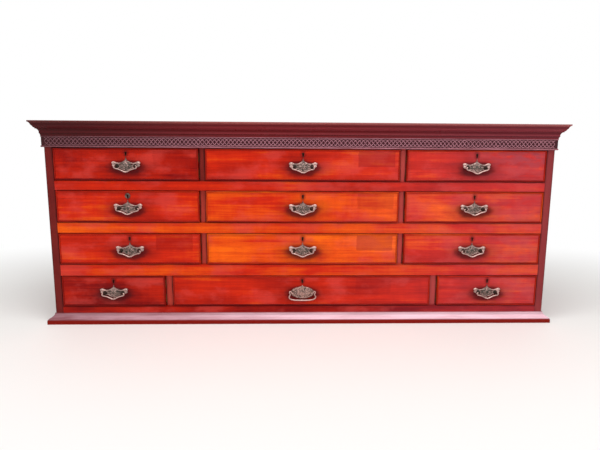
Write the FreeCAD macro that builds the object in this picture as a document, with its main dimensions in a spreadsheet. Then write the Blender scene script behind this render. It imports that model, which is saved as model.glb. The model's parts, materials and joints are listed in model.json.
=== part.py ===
"""Tabletop chest of twelve small drawers, such as holds printer's type: mahogany carcase,
moulded plinth and cornice, dovetailed drawers with brass drop handles and half-mortise locks.

Millimetres. +X is to the right, +Y to the back, +Z up. The origin is on the table, under the
middle of the overall box.
"""
import FreeCAD, Part
import math
import os

import Sketcher

doc = FreeCAD.newDocument("type_case_cabinet")
sheet = doc.addObject("Spreadsheet::Sheet", "Sizes")

# ---------------------------------------------------------------- driving dimensions

DRIVING_SIZES = {
    # carcase
    "carcase_width": 1100.0,
    "carcase_depth": 380.0,
    "end_thickness": 16.0,
    "top_thickness": 18.0,
    "bottom_thickness": 12.0,
    "housing_depth": 6.0,
    "back_thickness": 8.0,
    "back_rebate": 8.0,
    "back_lap": 6.0,
    # front, from the table up
    "plinth_height": 22.5,
    "bottom_rail_reveal": 14.5,
    "bottom_rail_foot": 6.0,
    "bottom_rail_depth": 19.0,
    "opening_height": 70.5,
    "lower_rail_height": 25.5,
    "middle_rail_height": 23.0,
    "upper_rail_height": 20.5,
    "frieze_height": 30.0,
    "cornice_height": 24.0,
    "rail_depth": 45.0,
    "rail_tenon_length": 8.0,
    "rail_tenon_shoulder": 4.0,
    # uprights between the drawers
    "divider_width": 12.5,
    "divider_spacing": 437.0,
    "wide_divider_width": 15.5,
    "wide_divider_spacing": 595.0,
    "divider_setback": 6.0,
    "divider_tenon_height": 6.0,
    "divider_tenon_shoulder": 3.0,
    "runner_width": 20.0,
    "guide_height": 18.0,
    # mouldings: how far each stands out from the carcase
    "plinth_projection": 14.0,
    "plinth_edge": 7.0,
    "plinth_round_out": 8.4,
    "plinth_round_height": 6.5,
    "plinth_round_radius": 8.0,
    "plinth_hollow_radius": 12.0,
    "plinth_fillet": 2.0,
    "plinth_fillet_height": 1.5,
    "frieze_projection": 3.5,
    "frieze_bead_radius": 1.7,
    "cornice_projection": 21.0,
    "cornice_fascia": 3.0,
    "cornice_fillet": 1.5,
    "cornice_foot_step": 2.3,
    "cornice_foot_height": 2.0,
    "cornice_cove_step": 6.2,
    "cornice_cove_drop": 13.0,
    "cornice_cove_radius": 8.0,
    "cornice_ogee_depth": 7.0,
    "cornice_ogee_drop": 9.6,
    "cornice_ogee_radius": 7.0,
    "cornice_turn_depth": 4.0,
    "cornice_turn_drop": 4.2,
    "cornice_lip": 1.0,
    # drawers
    "front_thickness": 19.0,
    "front_side_gap": 1.2,
    "front_top_gap": 1.4,
    "front_bottom_gap": 1.3,
    "front_inset": 0.4,
    "bead_width": 3.0,
    "bead_depth": 4.0,
    "bead_proud": 1.4,
    "side_thickness": 9.0,
    "side_top_drop": 3.0,
    "drawer_back_thickness": 8.0,
    "drawer_back_inset": 5.0,
    "drawer_back_housing": 3.0,
    "drawer_back_drop": 6.0,
    "drawer_end_room": 14.0,
    "drawer_bottom_thickness": 5.0,
    "drawer_bottom_lift": 7.0,
    "groove_depth": 4.5,
    "dovetail_lap": 5.0,
    "tail_height": 15.0,
    "tail_flare": 2.5,
    # drop handles
    "handle_height": 31.5,
    "plate_thickness": 1.6,
    "plate_half_width": 31.5,
    "plate_crest": 15.0,
    "plate_shoulder": 9.0,
    "plate_wing_top": 12.0,
    "plate_keel": 11.0,
    "post_spacing": 39.0,
    "pivot_standoff": 7.5,
    "post_head_width": 4.5,
    "post_head_height": 4.8,
    "post_head_nose": 2.8,
    "post_swing_room": 0.7,
    "shank_width": 3.4,
    "shank_clearance": 0.1,
    "nut_radius": 4.2,
    "nut_thickness": 3.0,
    "pin_radius": 1.2,
    "pin_clearance": 0.06,
    "pin_bite": 3.6,
    "arm_clearance": 0.4,
    "bail_width": 2.8,
    "bail_crown": 1.9,
    "bail_thickness": 2.8,
    "bail_drop": 13.0,
    "oval_half_width": 26.0,
    "oval_half_height": 13.2,
    "oval_crest": 15.2,
    "oval_post_spacing": 43.0,
    "swan_half_width": 30.0,
    "swan_drop": 15.5,
    # locks
    "keyhole_drop": 11.0,
    "keyhole_radius": 2.1,
    "keyhole_slot_width": 2.4,
    "keyhole_slot_drop": 6.0,
    "keyhole_depth_in_case": 2.5,
    "lock_width": 44.0,
    "lock_height": 28.0,
    "lock_depth": 9.0,
    "bolt_width": 15.0,
    "bolt_height": 10.0,
    "bolt_thickness": 4.0,
    "bolt_setback": 2.0,
    "bolt_clearance": 0.2,
    "bolt_throw": 6.5,
    "mortise_clearance": 1.0,
}

for row, (alias, number) in enumerate(DRIVING_SIZES.items(), start=1):
    sheet.set(f"A{row}", alias)
    sheet.set(f"B{row}", str(number))
    sheet.setAlias(f"B{row}", alias)
doc.recompute()


class Size:
    """A length that knows its number and the spreadsheet expression that gives it."""

    def __init__(self, number, text):
        self.number = number
        self.text = text

    def __add__(self, other):
        other = size(other)
        return Size(self.number + other.number, f"({self.text} + {other.text})")

    def __sub__(self, other):
        other = size(other)
        return Size(self.number - other.number, f"({self.text} - {other.text})")

    def __mul__(self, factor):
        return Size(self.number * factor, f"({self.text} * {factor})")

    def __truediv__(self, factor):
        return Size(self.number / factor, f"({self.text} / {factor})")

    def __neg__(self):
        return Size(-self.number, f"(0 - {self.text})")

    __radd__ = __add__

    def __rsub__(self, other):
        return size(other) - self


def size(thing):
    """A Size from a Size, from the name of a cell or from a bare number."""
    if isinstance(thing, Size):
        return thing
    if isinstance(thing, str):
        return Size(float(sheet.get(thing)), f"Sizes.{thing}")
    return Size(float(thing), str(float(thing)))


ZERO = size(0)
# the many small round pins and holes have this many sides, and turn freely all the same
SMALL_ROUND = 8
NUT_SIDES = 4
# how far a cutter runs on past what it cuts
CUTTER_OVERRUN = size(1)
# an arc over a half round's own ends is a shade flatter than a half circle
NEARLY_HALF_ROUND = 1.02

# ---------------------------------------------------------------- small makers


def bind(thing, prop, length):
    """Set one property of an object from the spreadsheet."""
    thing.setExpression(prop, size(length).text)
    return thing


def put(thing, x=ZERO, y=ZERO, z=ZERO):
    """Bind an object's place to the spreadsheet."""
    for axis, length in zip("xyz", (x, y, z)):
        bind(thing, f"Placement.Base.{axis}", length)
    return thing


def block(name, x, y, z):
    """A board between a low and a high value along each axis."""
    board = doc.addObject("Part::Box", name)
    for prop, (low, high) in zip(("Length", "Width", "Height"), (x, y, z)):
        bind(board, prop, high - low)
    return put(board, x[0], y[0], z[0])


WEDGE_TURNS = {
    "x": FreeCAD.Rotation(FreeCAD.Vector(0, 0, 1), -90),
    "y": FreeCAD.Rotation(),
    "z": FreeCAD.Rotation(FreeCAD.Vector(1, 0, 0), 90),
}


def wedge(name, axis, span, first, second):
    """A block that tapers along an axis.

    first and second are the ranges along the two other axes, in x, y, z order, each given at
    the low end and at the high end of the span.
    """
    if axis == "x":
        first = [negative(pair) for pair in first]
    if axis == "z":
        second = [negative(pair) for pair in second]
    tapered = doc.addObject("Part::Wedge", name)
    tapered.Placement.Rotation = WEDGE_TURNS[axis]
    limits = {
        "Ymin": span[0], "Ymax": span[1],
        "Xmin": first[0][0], "Xmax": first[0][1], "X2min": first[1][0], "X2max": first[1][1],
        "Zmin": second[0][0], "Zmax": second[0][1], "Z2min": second[1][0], "Z2max": second[1][1],
    }
    for prop, length in limits.items():
        bind(tapered, prop, length)
    return tapered


def negative(pair):
    """The same range seen along the opposite direction."""
    return (-pair[1], -pair[0])


BAR_TURNS = {
    "x": FreeCAD.Rotation(FreeCAD.Vector(0, 1, 0), 90),
    "y": FreeCAD.Rotation(FreeCAD.Vector(1, 0, 0), -90),
}


def to_corner(radius, sides):
    """From the middle of a regular outline to a corner, given its distance to a flat."""
    return size(radius) / round(math.cos(math.pi / sides), 6)


def rod(name, axis, sides, corner_radius, span, across):
    """A bar of regular section along an axis; across gives its place along the two other axes."""
    bar = doc.addObject("Part::Prism", name)
    bar.Polygon = sides
    half_turn = FreeCAD.Rotation(FreeCAD.Vector(0, 0, 1), 180 / sides)
    bar.Placement.Rotation = BAR_TURNS[axis].multiply(half_turn)
    bind(bar, "Circumradius", corner_radius)
    bind(bar, "Height", span[1] - span[0])
    place = dict(zip((other for other in "xyz" if other != axis), across))
    place[axis] = span[0]
    return put(bar, place["x"], place["y"], place["z"])


def fuse(name, shapes):
    joined = doc.addObject("Part::MultiFuse", name)
    joined.Shapes = shapes
    joined.Refine = True
    return joined


def cut(name, base, tools):
    """A piece with all the tools cut away."""
    result = doc.addObject("Part::Cut", name)
    result.Base = base
    result.Tool = tools[0] if len(tools) == 1 else group(name + "_cutters", tools)
    result.Refine = True
    return result


def common(name, base, tool):
    result = doc.addObject("Part::Common", name)
    result.Base = base
    result.Tool = tool
    return result


def group(name, pieces):
    """Separate solids kept together under one name."""
    together = doc.addObject("Part::Compound", name)
    together.Links = pieces
    return together


def grown(pair, margin):
    """A range made longer by a margin at both ends."""
    return (pair[0] - margin, pair[1] + margin)


def around(middle, width):
    """A range of some width about its middle."""
    return (middle - width / 2, middle + width / 2)


# ---------------------------------------------------------------- outlines with round stretches


class Arc:
    """Makes the next side of an outline round. It bulges outwards or is hollow."""

    def __init__(self, radius, bulges):
        self.radius = size(radius)
        self.bulges = bulges


def bulge(radius):
    return Arc(radius, True)


def hollow(radius):
    return Arc(radius, False)


def mirrored(outline):
    """An outline seen in a mirror across u = 0, still running anticlockwise."""
    return [item if isinstance(item, Arc) else (-size(item[0]), item[1]) for item in outline[::-1]]


def both_halves(right_half):
    """A whole outline from its right half, which starts and ends on u = 0."""
    return right_half + mirrored(right_half)[1:-1]


def short_arc(start, end, radius, bulges):
    """The short arc from start to end of a side that has the inside of the outline on its left."""
    chord = end - start
    inwards = FreeCAD.Vector(-chord.y, chord.x, 0).normalize()
    if not bulges:
        inwards = -inwards
    sagitta = radius - math.sqrt(radius ** 2 - chord.Length ** 2 / 4)
    return Part.Arc(start, (start + end) / 2 - inwards * sagitta, end)


def outline_pad(name, plane, outline, thickness):
    """A body padded from an anticlockwise outline, towards +Y from XZ and towards +X from YZ."""
    points, arcs = [], {}
    for item in outline:
        if isinstance(item, Arc):
            arcs[len(points) - 1] = item
        else:
            points.append((size(item[0]), size(item[1])))
    body = doc.addObject("PartDesign::Body", name)
    sketch = body.newObject("Sketcher::SketchObject", name + "_outline")
    planes = {feature.Role: feature for feature in body.Origin.OriginFeatures}
    sketch.AttachmentSupport = [(planes[plane + "_Plane"], "")]
    sketch.MapMode = "FlatFace"
    corners = [FreeCAD.Vector(u.number, v.number, 0) for u, v in points]
    ends = []
    for index, start in enumerate(corners):
        end = corners[(index + 1) % len(corners)]
        if index in arcs:
            arc = arcs[index]
            sketch.addGeometry(short_arc(start, end, arc.radius.number, arc.bulges), False)
            # a sketch keeps every arc anticlockwise, so a hollow one is stored back to front
            ends.append((1, 2) if arc.bulges else (2, 1))
        else:
            sketch.addGeometry(Part.LineSegment(start, end), False)
            ends.append((1, 2))
    for index, (u, v) in enumerate(points):
        before = index - 1 if index else len(points) - 1
        sketch.addConstraint(
            Sketcher.Constraint("Coincident", before, ends[before][1], index, ends[index][0]))
        for kind, length in (("DistanceX", u), ("DistanceY", v)):
            dimension(sketch, length, kind, -1, 1, index, ends[index][0])
    for index, arc in arcs.items():
        dimension(sketch, arc.radius, "Radius", index)
    pad = body.newObject("PartDesign::Pad", name + "_pad")
    pad.Profile = sketch
    pad.Reversed = plane == "XZ"
    bind(pad, "Length", thickness)
    return body


def dimension(sketch, length, kind, *where):
    """One driving dimension of a sketch, bound to the spreadsheet."""
    number = sketch.addConstraint(Sketcher.Constraint(kind, *where, length.number))
    sketch.setExpression(f"Constraints[{number}]", length.text)


# ---------------------------------------------------------------- levels and lines

carcase_half = size("carcase_width") / 2
inner_half = carcase_half - size("end_thickness")
front = (size("cornice_projection") - size("carcase_depth")) / 2
back = front + size("carcase_depth")
back_boards_front = back - size("back_thickness")
rail_back = front + size("rail_depth")
bottom_rail_back = front + size("bottom_rail_depth")

row4_floor = size("plinth_height") + size("bottom_rail_reveal")
row4_head = row4_floor + size("opening_height")
row3_floor = row4_head + size("lower_rail_height")
row3_head = row3_floor + size("opening_height")
row2_floor = row3_head + size("middle_rail_height")
row2_head = row2_floor + size("opening_height")
row1_floor = row2_head + size("upper_rail_height")
row1_head = row1_floor + size("opening_height")
frieze_top = row1_head + size("frieze_height")
top = frieze_top + size("cornice_height")
ends_top = top - size("top_thickness")
bottom_board_floor = row4_floor - size("bottom_thickness")

ROW_FLOORS = {1: row1_floor, 2: row2_floor, 3: row3_floor, 4: row4_floor}
SIDES = {"left": -1, "right": 1}


def divider_line(row, sign):
    spacing = "wide_divider_spacing" if row == 4 else "divider_spacing"
    return size(spacing) * (sign / 2)


def divider_span(row, sign):
    """The x range of the upright between two drawers of a row."""
    width = "wide_divider_width" if row == 4 else "divider_width"
    return around(divider_line(row, sign), size(width))


def opening_span(row, column):
    """The x range of a drawer's opening."""
    if column == "left":
        return (-inner_half, divider_span(row, -1)[0])
    if column == "right":
        return (divider_span(row, 1)[1], inner_half)
    return (divider_span(row, -1)[1], divider_span(row, 1)[0])


# ---------------------------------------------------------------- drawers and their brass


def drawer_lines(row, column):
    """The lines that a drawer's wood, handle and lock all work to."""
    floor = ROW_FLOORS[row]
    opening = opening_span(row, column)
    face = front + size("front_inset")
    return {
        "name": f"row{row}_{column}",
        "x": grown(opening, -size("front_side_gap")),
        "middle": (opening[0] + opening[1]) / 2,
        "floor": floor,
        "z": (floor + size("front_bottom_gap"),
              floor + size("opening_height") - size("front_top_gap")),
        "face": face,
        "inside": face + size("front_thickness"),
        "end": back_boards_front - size("drawer_end_room"),
        "pivot_y": face - size("pivot_standoff"),
        "pivot_z": floor + size("handle_height"),
        "keyhole_z": floor + size("opening_height") - size("keyhole_drop"),
    }


def cock_bead(at):
    """Four mitred strips let into the edges of a drawer front and standing a little proud."""
    name = at["name"]
    outer_x, outer_z = at["x"], at["z"]
    inner_x, inner_z = grown(outer_x, -size("bead_width")), grown(outer_z, -size("bead_width"))
    depth = (at["face"] - size("bead_proud"), at["face"] + size("bead_depth"))
    return [
        wedge(f"bead_bottom_{name}", "z", (outer_z[0], inner_z[0]), (outer_x, inner_x), (depth, depth)),
        wedge(f"bead_top_{name}", "z", (inner_z[1], outer_z[1]), (inner_x, outer_x), (depth, depth)),
        wedge(f"bead_left_{name}", "x", (outer_x[0], inner_x[0]), (depth, depth), (outer_z, inner_z)),
        wedge(f"bead_right_{name}", "x", (inner_x[1], outer_x[1]), (depth, depth), (inner_z, outer_z)),
    ]


TAILS_PER_CORNER = 2


def side_tails(at, side, span, top_z):
    """The dovetails on a drawer side, which widen towards the drawer front's face."""
    length = (at["face"] + size("dovetail_lap"), at["inside"])
    pitch = (top_z - at["floor"]) / TAILS_PER_CORNER
    tails = []
    for count in range(TAILS_PER_CORNER):
        middle = at["floor"] + pitch * (count + 0.5)
        wide = around(middle, size("tail_height") + size("tail_flare") * 2)
        narrow = around(middle, size("tail_height"))
        tails.append(wedge(f"tail_{side}{count}_{at['name']}", "y", length, (span, span), (wide, narrow)))
    return tails


def keyhole(at):
    """The cutters of a keyhole: a round eye over a slot, which runs on into the lock's case."""
    name = at["name"]
    depth = (at["face"] - CUTTER_OVERRUN,
             at["inside"] - size("lock_depth") + size("keyhole_depth_in_case"))
    eye = rod(f"keyhole_eye_{name}", "y", SMALL_ROUND, size("keyhole_radius"), depth,
              (at["middle"], at["keyhole_z"]))
    slot = block(f"keyhole_slot_{name}", around(at["middle"], size("keyhole_slot_width")), depth,
                 (at["keyhole_z"] - size("keyhole_slot_drop"), at["keyhole_z"]))
    return eye, slot


def lock_case_block(at, name):
    return block(name, around(at["middle"], size("lock_width")),
                 (at["inside"] - size("lock_depth"), at["inside"]),
                 (at["z"][1] - size("lock_height"), at["z"][1]))


def post_places(at, spacing):
    return {side: at["middle"] + spacing * (sign / 2) for side, sign in SIDES.items()}


def shank_holes(at, spacing):
    """Cutters for the holes that the two posts pass through, in plate, front and nut alike."""
    span = grown((at["face"] - size("plate_thickness"), at["inside"] + size("nut_thickness")),
                 CUTTER_OVERRUN)
    width = size("shank_width") + size("shank_clearance") * 2
    return [
        block(f"shank_hole_{side}_{at['name']}", around(x, width), span, around(at["pivot_z"], width))
        for side, x in post_places(at, spacing).items()
    ]


def drawer_wood(at, holes, key_cutters):
    """Front, cock bead, two sides, back and bottom of one drawer, each a board of its own."""
    name = at["name"]
    sides_top = at["z"][1] - size("side_top_drop")
    left = (at["x"][0], at["x"][0] + size("side_thickness"))
    right = (at["x"][1] - size("side_thickness"), at["x"][1])
    between = (left[1], right[0])

    bottom = block(f"bottom_{name}", grown(between, size("groove_depth")),
                   (at["inside"] - size("groove_depth"), at["end"]),
                   (at["floor"] + size("drawer_bottom_lift"),
                    at["floor"] + size("drawer_bottom_lift") + size("drawer_bottom_thickness")))
    back_end = at["end"] - size("drawer_back_inset")
    rear = block(f"rear_{name}", grown(between, size("drawer_back_housing")),
                 (back_end - size("drawer_back_thickness"), back_end),
                 (at["floor"] + size("drawer_bottom_lift") + size("drawer_bottom_thickness"),
                  sides_top - size("drawer_back_drop")))
    pieces, tails = [], []
    for side, span in (("left", left), ("right", right)):
        own_tails = side_tails(at, side, span, sides_top)
        board = block(f"{side}_board_{name}", span, (at["inside"], at["end"]), (at["floor"], sides_top))
        tailed = fuse(f"{side}_tailed_{name}", [board] + own_tails)
        pieces.append(cut(f"{side}_side_{name}", tailed, [bottom, rear]))
        tails += own_tails
    beads = cock_bead(at)
    front_board = block(f"front_board_{name}", at["x"], (at["face"], at["inside"]), at["z"])
    lock_recess = lock_case_block(at, f"lock_recess_{name}")
    finished_front = cut(f"front_{name}", front_board,
                         beads + tails + holes + [bottom, lock_recess, *key_cutters])
    return group(f"drawer_{name}", [finished_front] + beads + pieces + [rear, bottom])


def batwing_outline():
    """Backing plate with raised wings, a crest and a shallow keel, about the line of its posts."""
    half, crest = size("plate_half_width"), size("plate_crest")
    shoulder, wing, keel = size("plate_shoulder"), size("plate_wing_top"), size("plate_keel")
    return both_halves([
        (0, -keel),
        (half * 0.19, keel * -0.91),
        (half * 0.41, keel * -0.55),
        (half * 0.68, keel * -0.4),
        (half * 0.87, keel * -0.31),
        (half * 0.92, wing * 0.05),
        (half, wing * 0.54),
        (half * 0.92, wing),
        (half * 0.8, wing * 0.9),
        (half * 0.65, shoulder),
        (half * 0.48, shoulder * 0.89),
        (half * 0.27, shoulder),
        (half * 0.15, crest * 0.83),
        (0, crest),
    ])


def oval_outline():
    """Oval backing plate with a small crest, about the line of its posts."""
    half, tall = size("oval_half_width"), size("oval_half_height")
    return both_halves([
        (0, -tall),
        (half * 0.42, tall * -0.93),
        (half * 0.74, tall * -0.7),
        (half * 0.94, tall * -0.36),
        (half, 0),
        (half * 0.94, tall * 0.36),
        (half * 0.74, tall * 0.7),
        (half * 0.42, tall * 0.93),
        (half * 0.13, tall * 0.99),
        (0, size("oval_crest")),
    ])


def bow_outline(spacing):
    """Bail like a shallow drawn bow, whose arms stand outside the posts."""
    inner, outer = arm_span(spacing)
    drop, bar, crown = size("bail_drop"), size("bail_width"), size("bail_crown")
    under_post = -size("post_head_height") / 2 - size("post_swing_room")
    return both_halves([
        (0, -drop - bar / 2),
        (outer * 0.13, -drop - bar * 0.25),
        (outer * 0.3, -drop + bar * 0.57),
        (outer - bar * 2.86, under_post - bar * 1.39),
        (outer - bar * 0.86, under_post - bar * 0.89),
        (outer, under_post - bar * 0.18),
        (outer, crown),
        (inner, crown),
        (inner, under_post),
        (outer - bar * 3.21, under_post - bar * 0.32),
        (outer * 0.26, -drop + bar * 1.5),
        (outer * 0.11, -drop + bar * 0.79),
        (0, -drop + bar / 2),
    ])


def swan_outline(spacing):
    """Bail with a flat grip between two swan necks, whose arms stand outside the posts."""
    inner, outer = arm_span(spacing)
    half, drop = size("swan_half_width"), size("swan_drop")
    bar, crown = size("bail_width"), size("bail_crown")
    return both_halves([
        (0, -drop - bar / 2),
        (half * 0.6, -drop),
        (half * 0.83, -drop + bar),
        (half * 0.97, drop * -0.61),
        (half, drop * -0.44),
        (half * 0.97, drop * -0.27),
        (outer + bar * 0.32, drop * -0.155),
        (outer, bar * -0.14),
        (outer, crown),
        (inner, crown),
        (inner, bar * -0.29),
        (outer - bar * 0.14, drop * -0.22),
        (half - bar * 1.25, drop * -0.32),
        (half - bar, drop * -0.45),
        (half - bar * 1.29, drop * -0.55),
        (half * 0.77, -drop + bar * 1.64),
        (half * 0.58, -drop + bar),
        (0, -drop + bar / 2),
    ])


def arm_span(spacing):
    """The x range of a bail's right arm."""
    inner = spacing / 2 + size("post_head_width") / 2 + size("arm_clearance")
    return inner, inner + size("bail_width")


HANDLES = {
    "batwing": (batwing_outline, bow_outline, "post_spacing"),
    "oval": (oval_outline, swan_outline, "oval_post_spacing"),
}


def brass_fittings(at, spacing, plate_outline, holes, key_slot):
    """Backing plate, two posts with their nuts, and the case of the lock."""
    name = at["name"]
    plate_pad = outline_pad(f"plate_pad_{name}", "XZ", plate_outline(), size("plate_thickness"))
    put(plate_pad, at["middle"], at["face"] - size("plate_thickness"), at["pivot_z"])
    pieces = [cut(f"plate_{name}", plate_pad, holes)]
    bore_radius = to_corner(size("pin_radius") + size("pin_clearance"), SMALL_ROUND)
    head_half = size("post_head_height") / 2
    for (side, x), hole in zip(post_places(at, spacing).items(), holes):
        head_span = around(x, size("post_head_width"))
        head = wedge(f"post_head_{side}_{name}", "y", around(at["pivot_y"], size("post_head_height")),
                     (head_span, head_span),
                     (around(at["pivot_z"], size("post_head_nose")),
                      around(at["pivot_z"], size("post_head_height"))))
        shank = block(f"shank_{side}_{name}", around(x, size("shank_width")),
                      (at["pivot_y"] + head_half, at["inside"] + size("nut_thickness")),
                      around(at["pivot_z"], size("shank_width")))
        bore = rod(f"post_bore_{side}_{name}", "x", SMALL_ROUND, bore_radius,
                   grown(head_span, CUTTER_OVERRUN), (at["pivot_y"], at["pivot_z"]))
        post = fuse(f"post_solid_{side}_{name}", [head, shank])
        pieces.append(cut(f"post_{side}_{name}", post, [bore]))
        nut = rod(f"nut_blank_{side}_{name}", "y", NUT_SIDES, size("nut_radius"),
                  (at["inside"], at["inside"] + size("nut_thickness")), (x, at["pivot_z"]))
        pieces.append(cut(f"nut_{side}_{name}", nut, [hole]))
    bolt_room = bolt_block(at, f"bolt_room_{name}", size("bolt_clearance"), size("bolt_throw"))
    case = lock_case_block(at, f"lock_block_{name}")
    pieces.append(cut(f"lock_case_{name}", case, [bolt_room, key_slot]))
    return group(f"fittings_{name}", pieces)


def bolt_block(at, name, room, rise):
    """The lock's bolt, or the room that it needs on all sides and on its way up."""
    y_back = at["inside"] - size("bolt_setback")
    crown = at["z"][1] - size("bolt_clearance")
    return block(name, grown(around(at["middle"], size("bolt_width")), room),
                 (y_back - size("bolt_thickness") - room, y_back + room),
                 (crown - size("bolt_height") - room, crown + rise))


def bail(at, spacing, outline):
    """The hanging grip, with a pin on each arm that turns in a post."""
    name = at["name"]
    pad = outline_pad(f"grip_{name}", "XZ", outline(spacing), size("bail_thickness"))
    put(pad, at["middle"], at["pivot_y"] - size("bail_thickness") / 2, at["pivot_z"])
    inner, outer = arm_span(spacing)
    tip = inner - size("arm_clearance") - size("pin_bite")
    root = (inner + outer) / 2
    pins = []
    for side, sign in SIDES.items():
        reach = (tip, root) if sign > 0 else negative((tip, root))
        span = (at["middle"] + reach[0], at["middle"] + reach[1])
        pins.append(rod(f"pin_{side}_{name}", "x", SMALL_ROUND, size("pin_radius"), span,
                        (at["pivot_y"], at["pivot_z"])))
    return fuse(f"bail_{name}", [pad] + pins)


nodes = []
bolt_mortises = {}

for row in ROW_FLOORS:
    for column in ("left", "centre", "right"):
        at = drawer_lines(row, column)
        kind = "oval" if (row, column) == (4, "centre") else "batwing"
        plate_outline, bail_outline, spacing_name = HANDLES[kind]
        spacing = size(spacing_name)
        holes = shank_holes(at, spacing)
        key_eye, key_slot = keyhole(at)
        nodes.append(drawer_wood(at, holes, [key_eye, key_slot]))
        nodes.append(brass_fittings(at, spacing, plate_outline, holes, key_slot))
        nodes.append(bail(at, spacing, bail_outline))
        nodes.append(bolt_block(at, f"lock_bolt_{at['name']}", ZERO, ZERO))
        bolt_mortises.setdefault(row, []).append(
            bolt_block(at, f"bolt_mortise_{at['name']}", size("mortise_clearance"),
                       size("bolt_throw") + size("mortise_clearance")))

# ---------------------------------------------------------------- rails, dividers, runners


def rail(name, z, y, cutters):
    """A front rail with a stub tenon at each end, and the mortises of what meets it."""
    tenon_y = grown(y, -size("rail_tenon_shoulder"))
    tenon_z = grown(z, -size("rail_tenon_shoulder"))
    tenon_x = grown((-inner_half, inner_half), size("rail_tenon_length"))
    blank = fuse(f"{name}_blank", [
        block(f"{name}_length", (-inner_half, inner_half), y, z),
        block(f"{name}_tenons", tenon_x, tenon_y, tenon_z),
    ])
    return cut(name, blank, cutters)


dividers = {}
for row, floor in ROW_FLOORS.items():
    for side, sign in SIDES.items():
        span = divider_span(row, sign)
        upright = (floor, floor + size("opening_height"))
        shoulder = size("divider_tenon_shoulder")
        tenon_y = (front + size("divider_setback") + shoulder, bottom_rail_back - shoulder)
        dividers[row, side] = fuse(f"divider_row{row}_{side}", [
            block(f"divider_board_row{row}_{side}", span,
                  (front + size("divider_setback"), rail_back), upright),
            block(f"divider_tenons_row{row}_{side}", grown(span, -shoulder), tenon_y,
                  grown(upright, size("divider_tenon_height"))),
        ])


def dividers_of(*rows):
    return [dividers[row, side] for row in rows for side in SIDES]


rail_y = (front, rail_back)
rails = [
    rail("bottom_rail", (size("bottom_rail_foot"), row4_floor), (front, bottom_rail_back), dividers_of(4)),
    rail("lower_rail", (row4_head, row3_floor), rail_y, dividers_of(3, 4) + bolt_mortises[4]),
    rail("middle_rail", (row3_head, row2_floor), rail_y, dividers_of(2, 3) + bolt_mortises[3]),
    rail("upper_rail", (row2_head, row1_floor), rail_y, dividers_of(1, 2) + bolt_mortises[2]),
    rail("frieze_rail", (row1_head, ends_top), rail_y, dividers_of(1) + bolt_mortises[1]),
]
nodes.append(group("rails", rails))
nodes.append(group("dividers", list(dividers.values())))

runner_y = (rail_back, back_boards_front)
RUNNER_LEVELS = {
    "lower": (row4_head, row3_floor),
    "middle": (row3_head, row2_floor),
    "upper": (row2_head, row1_floor),
    "top": (row1_head, ends_top),
}
runners, guides = [], []
for level, z in RUNNER_LEVELS.items():
    for side, sign in SIDES.items():
        line = divider_span(1, sign)
        wall = (-inner_half, -inner_half + size("runner_width"))
        wall = wall if sign < 0 else negative(wall)
        runners.append(block(f"{level}_wall_runner_{side}", wall, runner_y, z))
        runners.append(block(f"{level}_middle_runner_{side}", grown(line, size("runner_width")),
                             runner_y, z))
nodes.append(group("runners", runners))
for row, floor in ROW_FLOORS.items():
    for side, sign in SIDES.items():
        guides.append(block(f"guide_row{row}_{side}", divider_span(row, sign), runner_y,
                            (floor, floor + size("guide_height"))))
nodes.append(group("drawer_guides", guides))

# ---------------------------------------------------------------- carcase boards

bottom_board = block("bottom_board", grown((-inner_half, inner_half), size("housing_depth")),
                     (bottom_rail_back, back_boards_front), (bottom_board_floor, row4_floor))
nodes.append(bottom_board)
nodes.append(block("top_board", (-carcase_half, carcase_half), (front, back), (ends_top, top)))

BACK_BOARDS = 6
back_half = inner_half + size("back_rebate")
board_width = back_half * 2 / BACK_BOARDS
back_z = (bottom_board_floor, ends_top)
lap_line = back - size("back_thickness") / 2
back_boards = []
for number in range(BACK_BOARDS):
    low = board_width * number - back_half
    high = low + board_width
    lapped_low = low if number == 0 else low + size("back_lap")
    lapped_high = high if number == BACK_BOARDS - 1 else high + size("back_lap")
    back_boards.append(fuse(f"back_board_{number + 1}", [
        block(f"back_face_{number + 1}", (lapped_low, lapped_high), (back_boards_front, lap_line), back_z),
        block(f"back_skin_{number + 1}", (low, high), (lap_line, back), back_z),
    ]))
nodes.append(group("back_boards", back_boards))

back_room = block("back_room", (-back_half, back_half), (back_boards_front, back), back_z)
for side, sign in SIDES.items():
    panel = (-carcase_half, -inner_half)
    panel = panel if sign < 0 else negative(panel)
    board = block(f"{side}_end_board", panel, (front, back), (ZERO, ends_top))
    nodes.append(cut(f"{side}_end", board, rails + [bottom_board, back_room]))

# ---------------------------------------------------------------- plinth, frieze and cornice


def moulding(name, profile, projection, z):
    """Three lengths mitred at the front corners.

    The profile runs anticlockwise; u is how far it stands out from the carcase, v its height.
    """
    mitre = wedge(f"{name}_mitre", "y", (front - projection, front),
                  (grown((-carcase_half, carcase_half), projection), (-carcase_half, carcase_half)),
                  (z, z))
    front_bar = outline_pad(f"{name}_front_bar", "YZ", mirrored(profile),
                            (carcase_half + projection) * 2)
    put(front_bar, -carcase_half - projection, front, z[0])
    lengths = [common(f"{name}_front", front_bar, mitre)]
    for side, sign in SIDES.items():
        outline = profile if sign > 0 else mirrored(profile)
        bar = outline_pad(f"{name}_{side}_bar", "XZ", outline, size("carcase_depth") + projection)
        put(bar, carcase_half * sign, front - projection, z[0])
        lengths.append(cut(f"{name}_{side}", bar, [mitre]))
    return group(name, lengths)


plinth_out, plinth_top = size("plinth_projection"), size("plinth_height")
plinth_profile = [
    (0, 0),
    (plinth_out, 0),
    (plinth_out, size("plinth_edge")), bulge(size("plinth_round_radius")),
    (size("plinth_round_out"), size("plinth_edge") + size("plinth_round_height")),
    hollow(size("plinth_hollow_radius")),
    (size("plinth_fillet"), plinth_top - size("plinth_fillet_height")),
    (size("plinth_fillet"), plinth_top),
    (0, plinth_top),
]
nodes.append(moulding("plinth", plinth_profile, plinth_out, (ZERO, plinth_top)))

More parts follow.
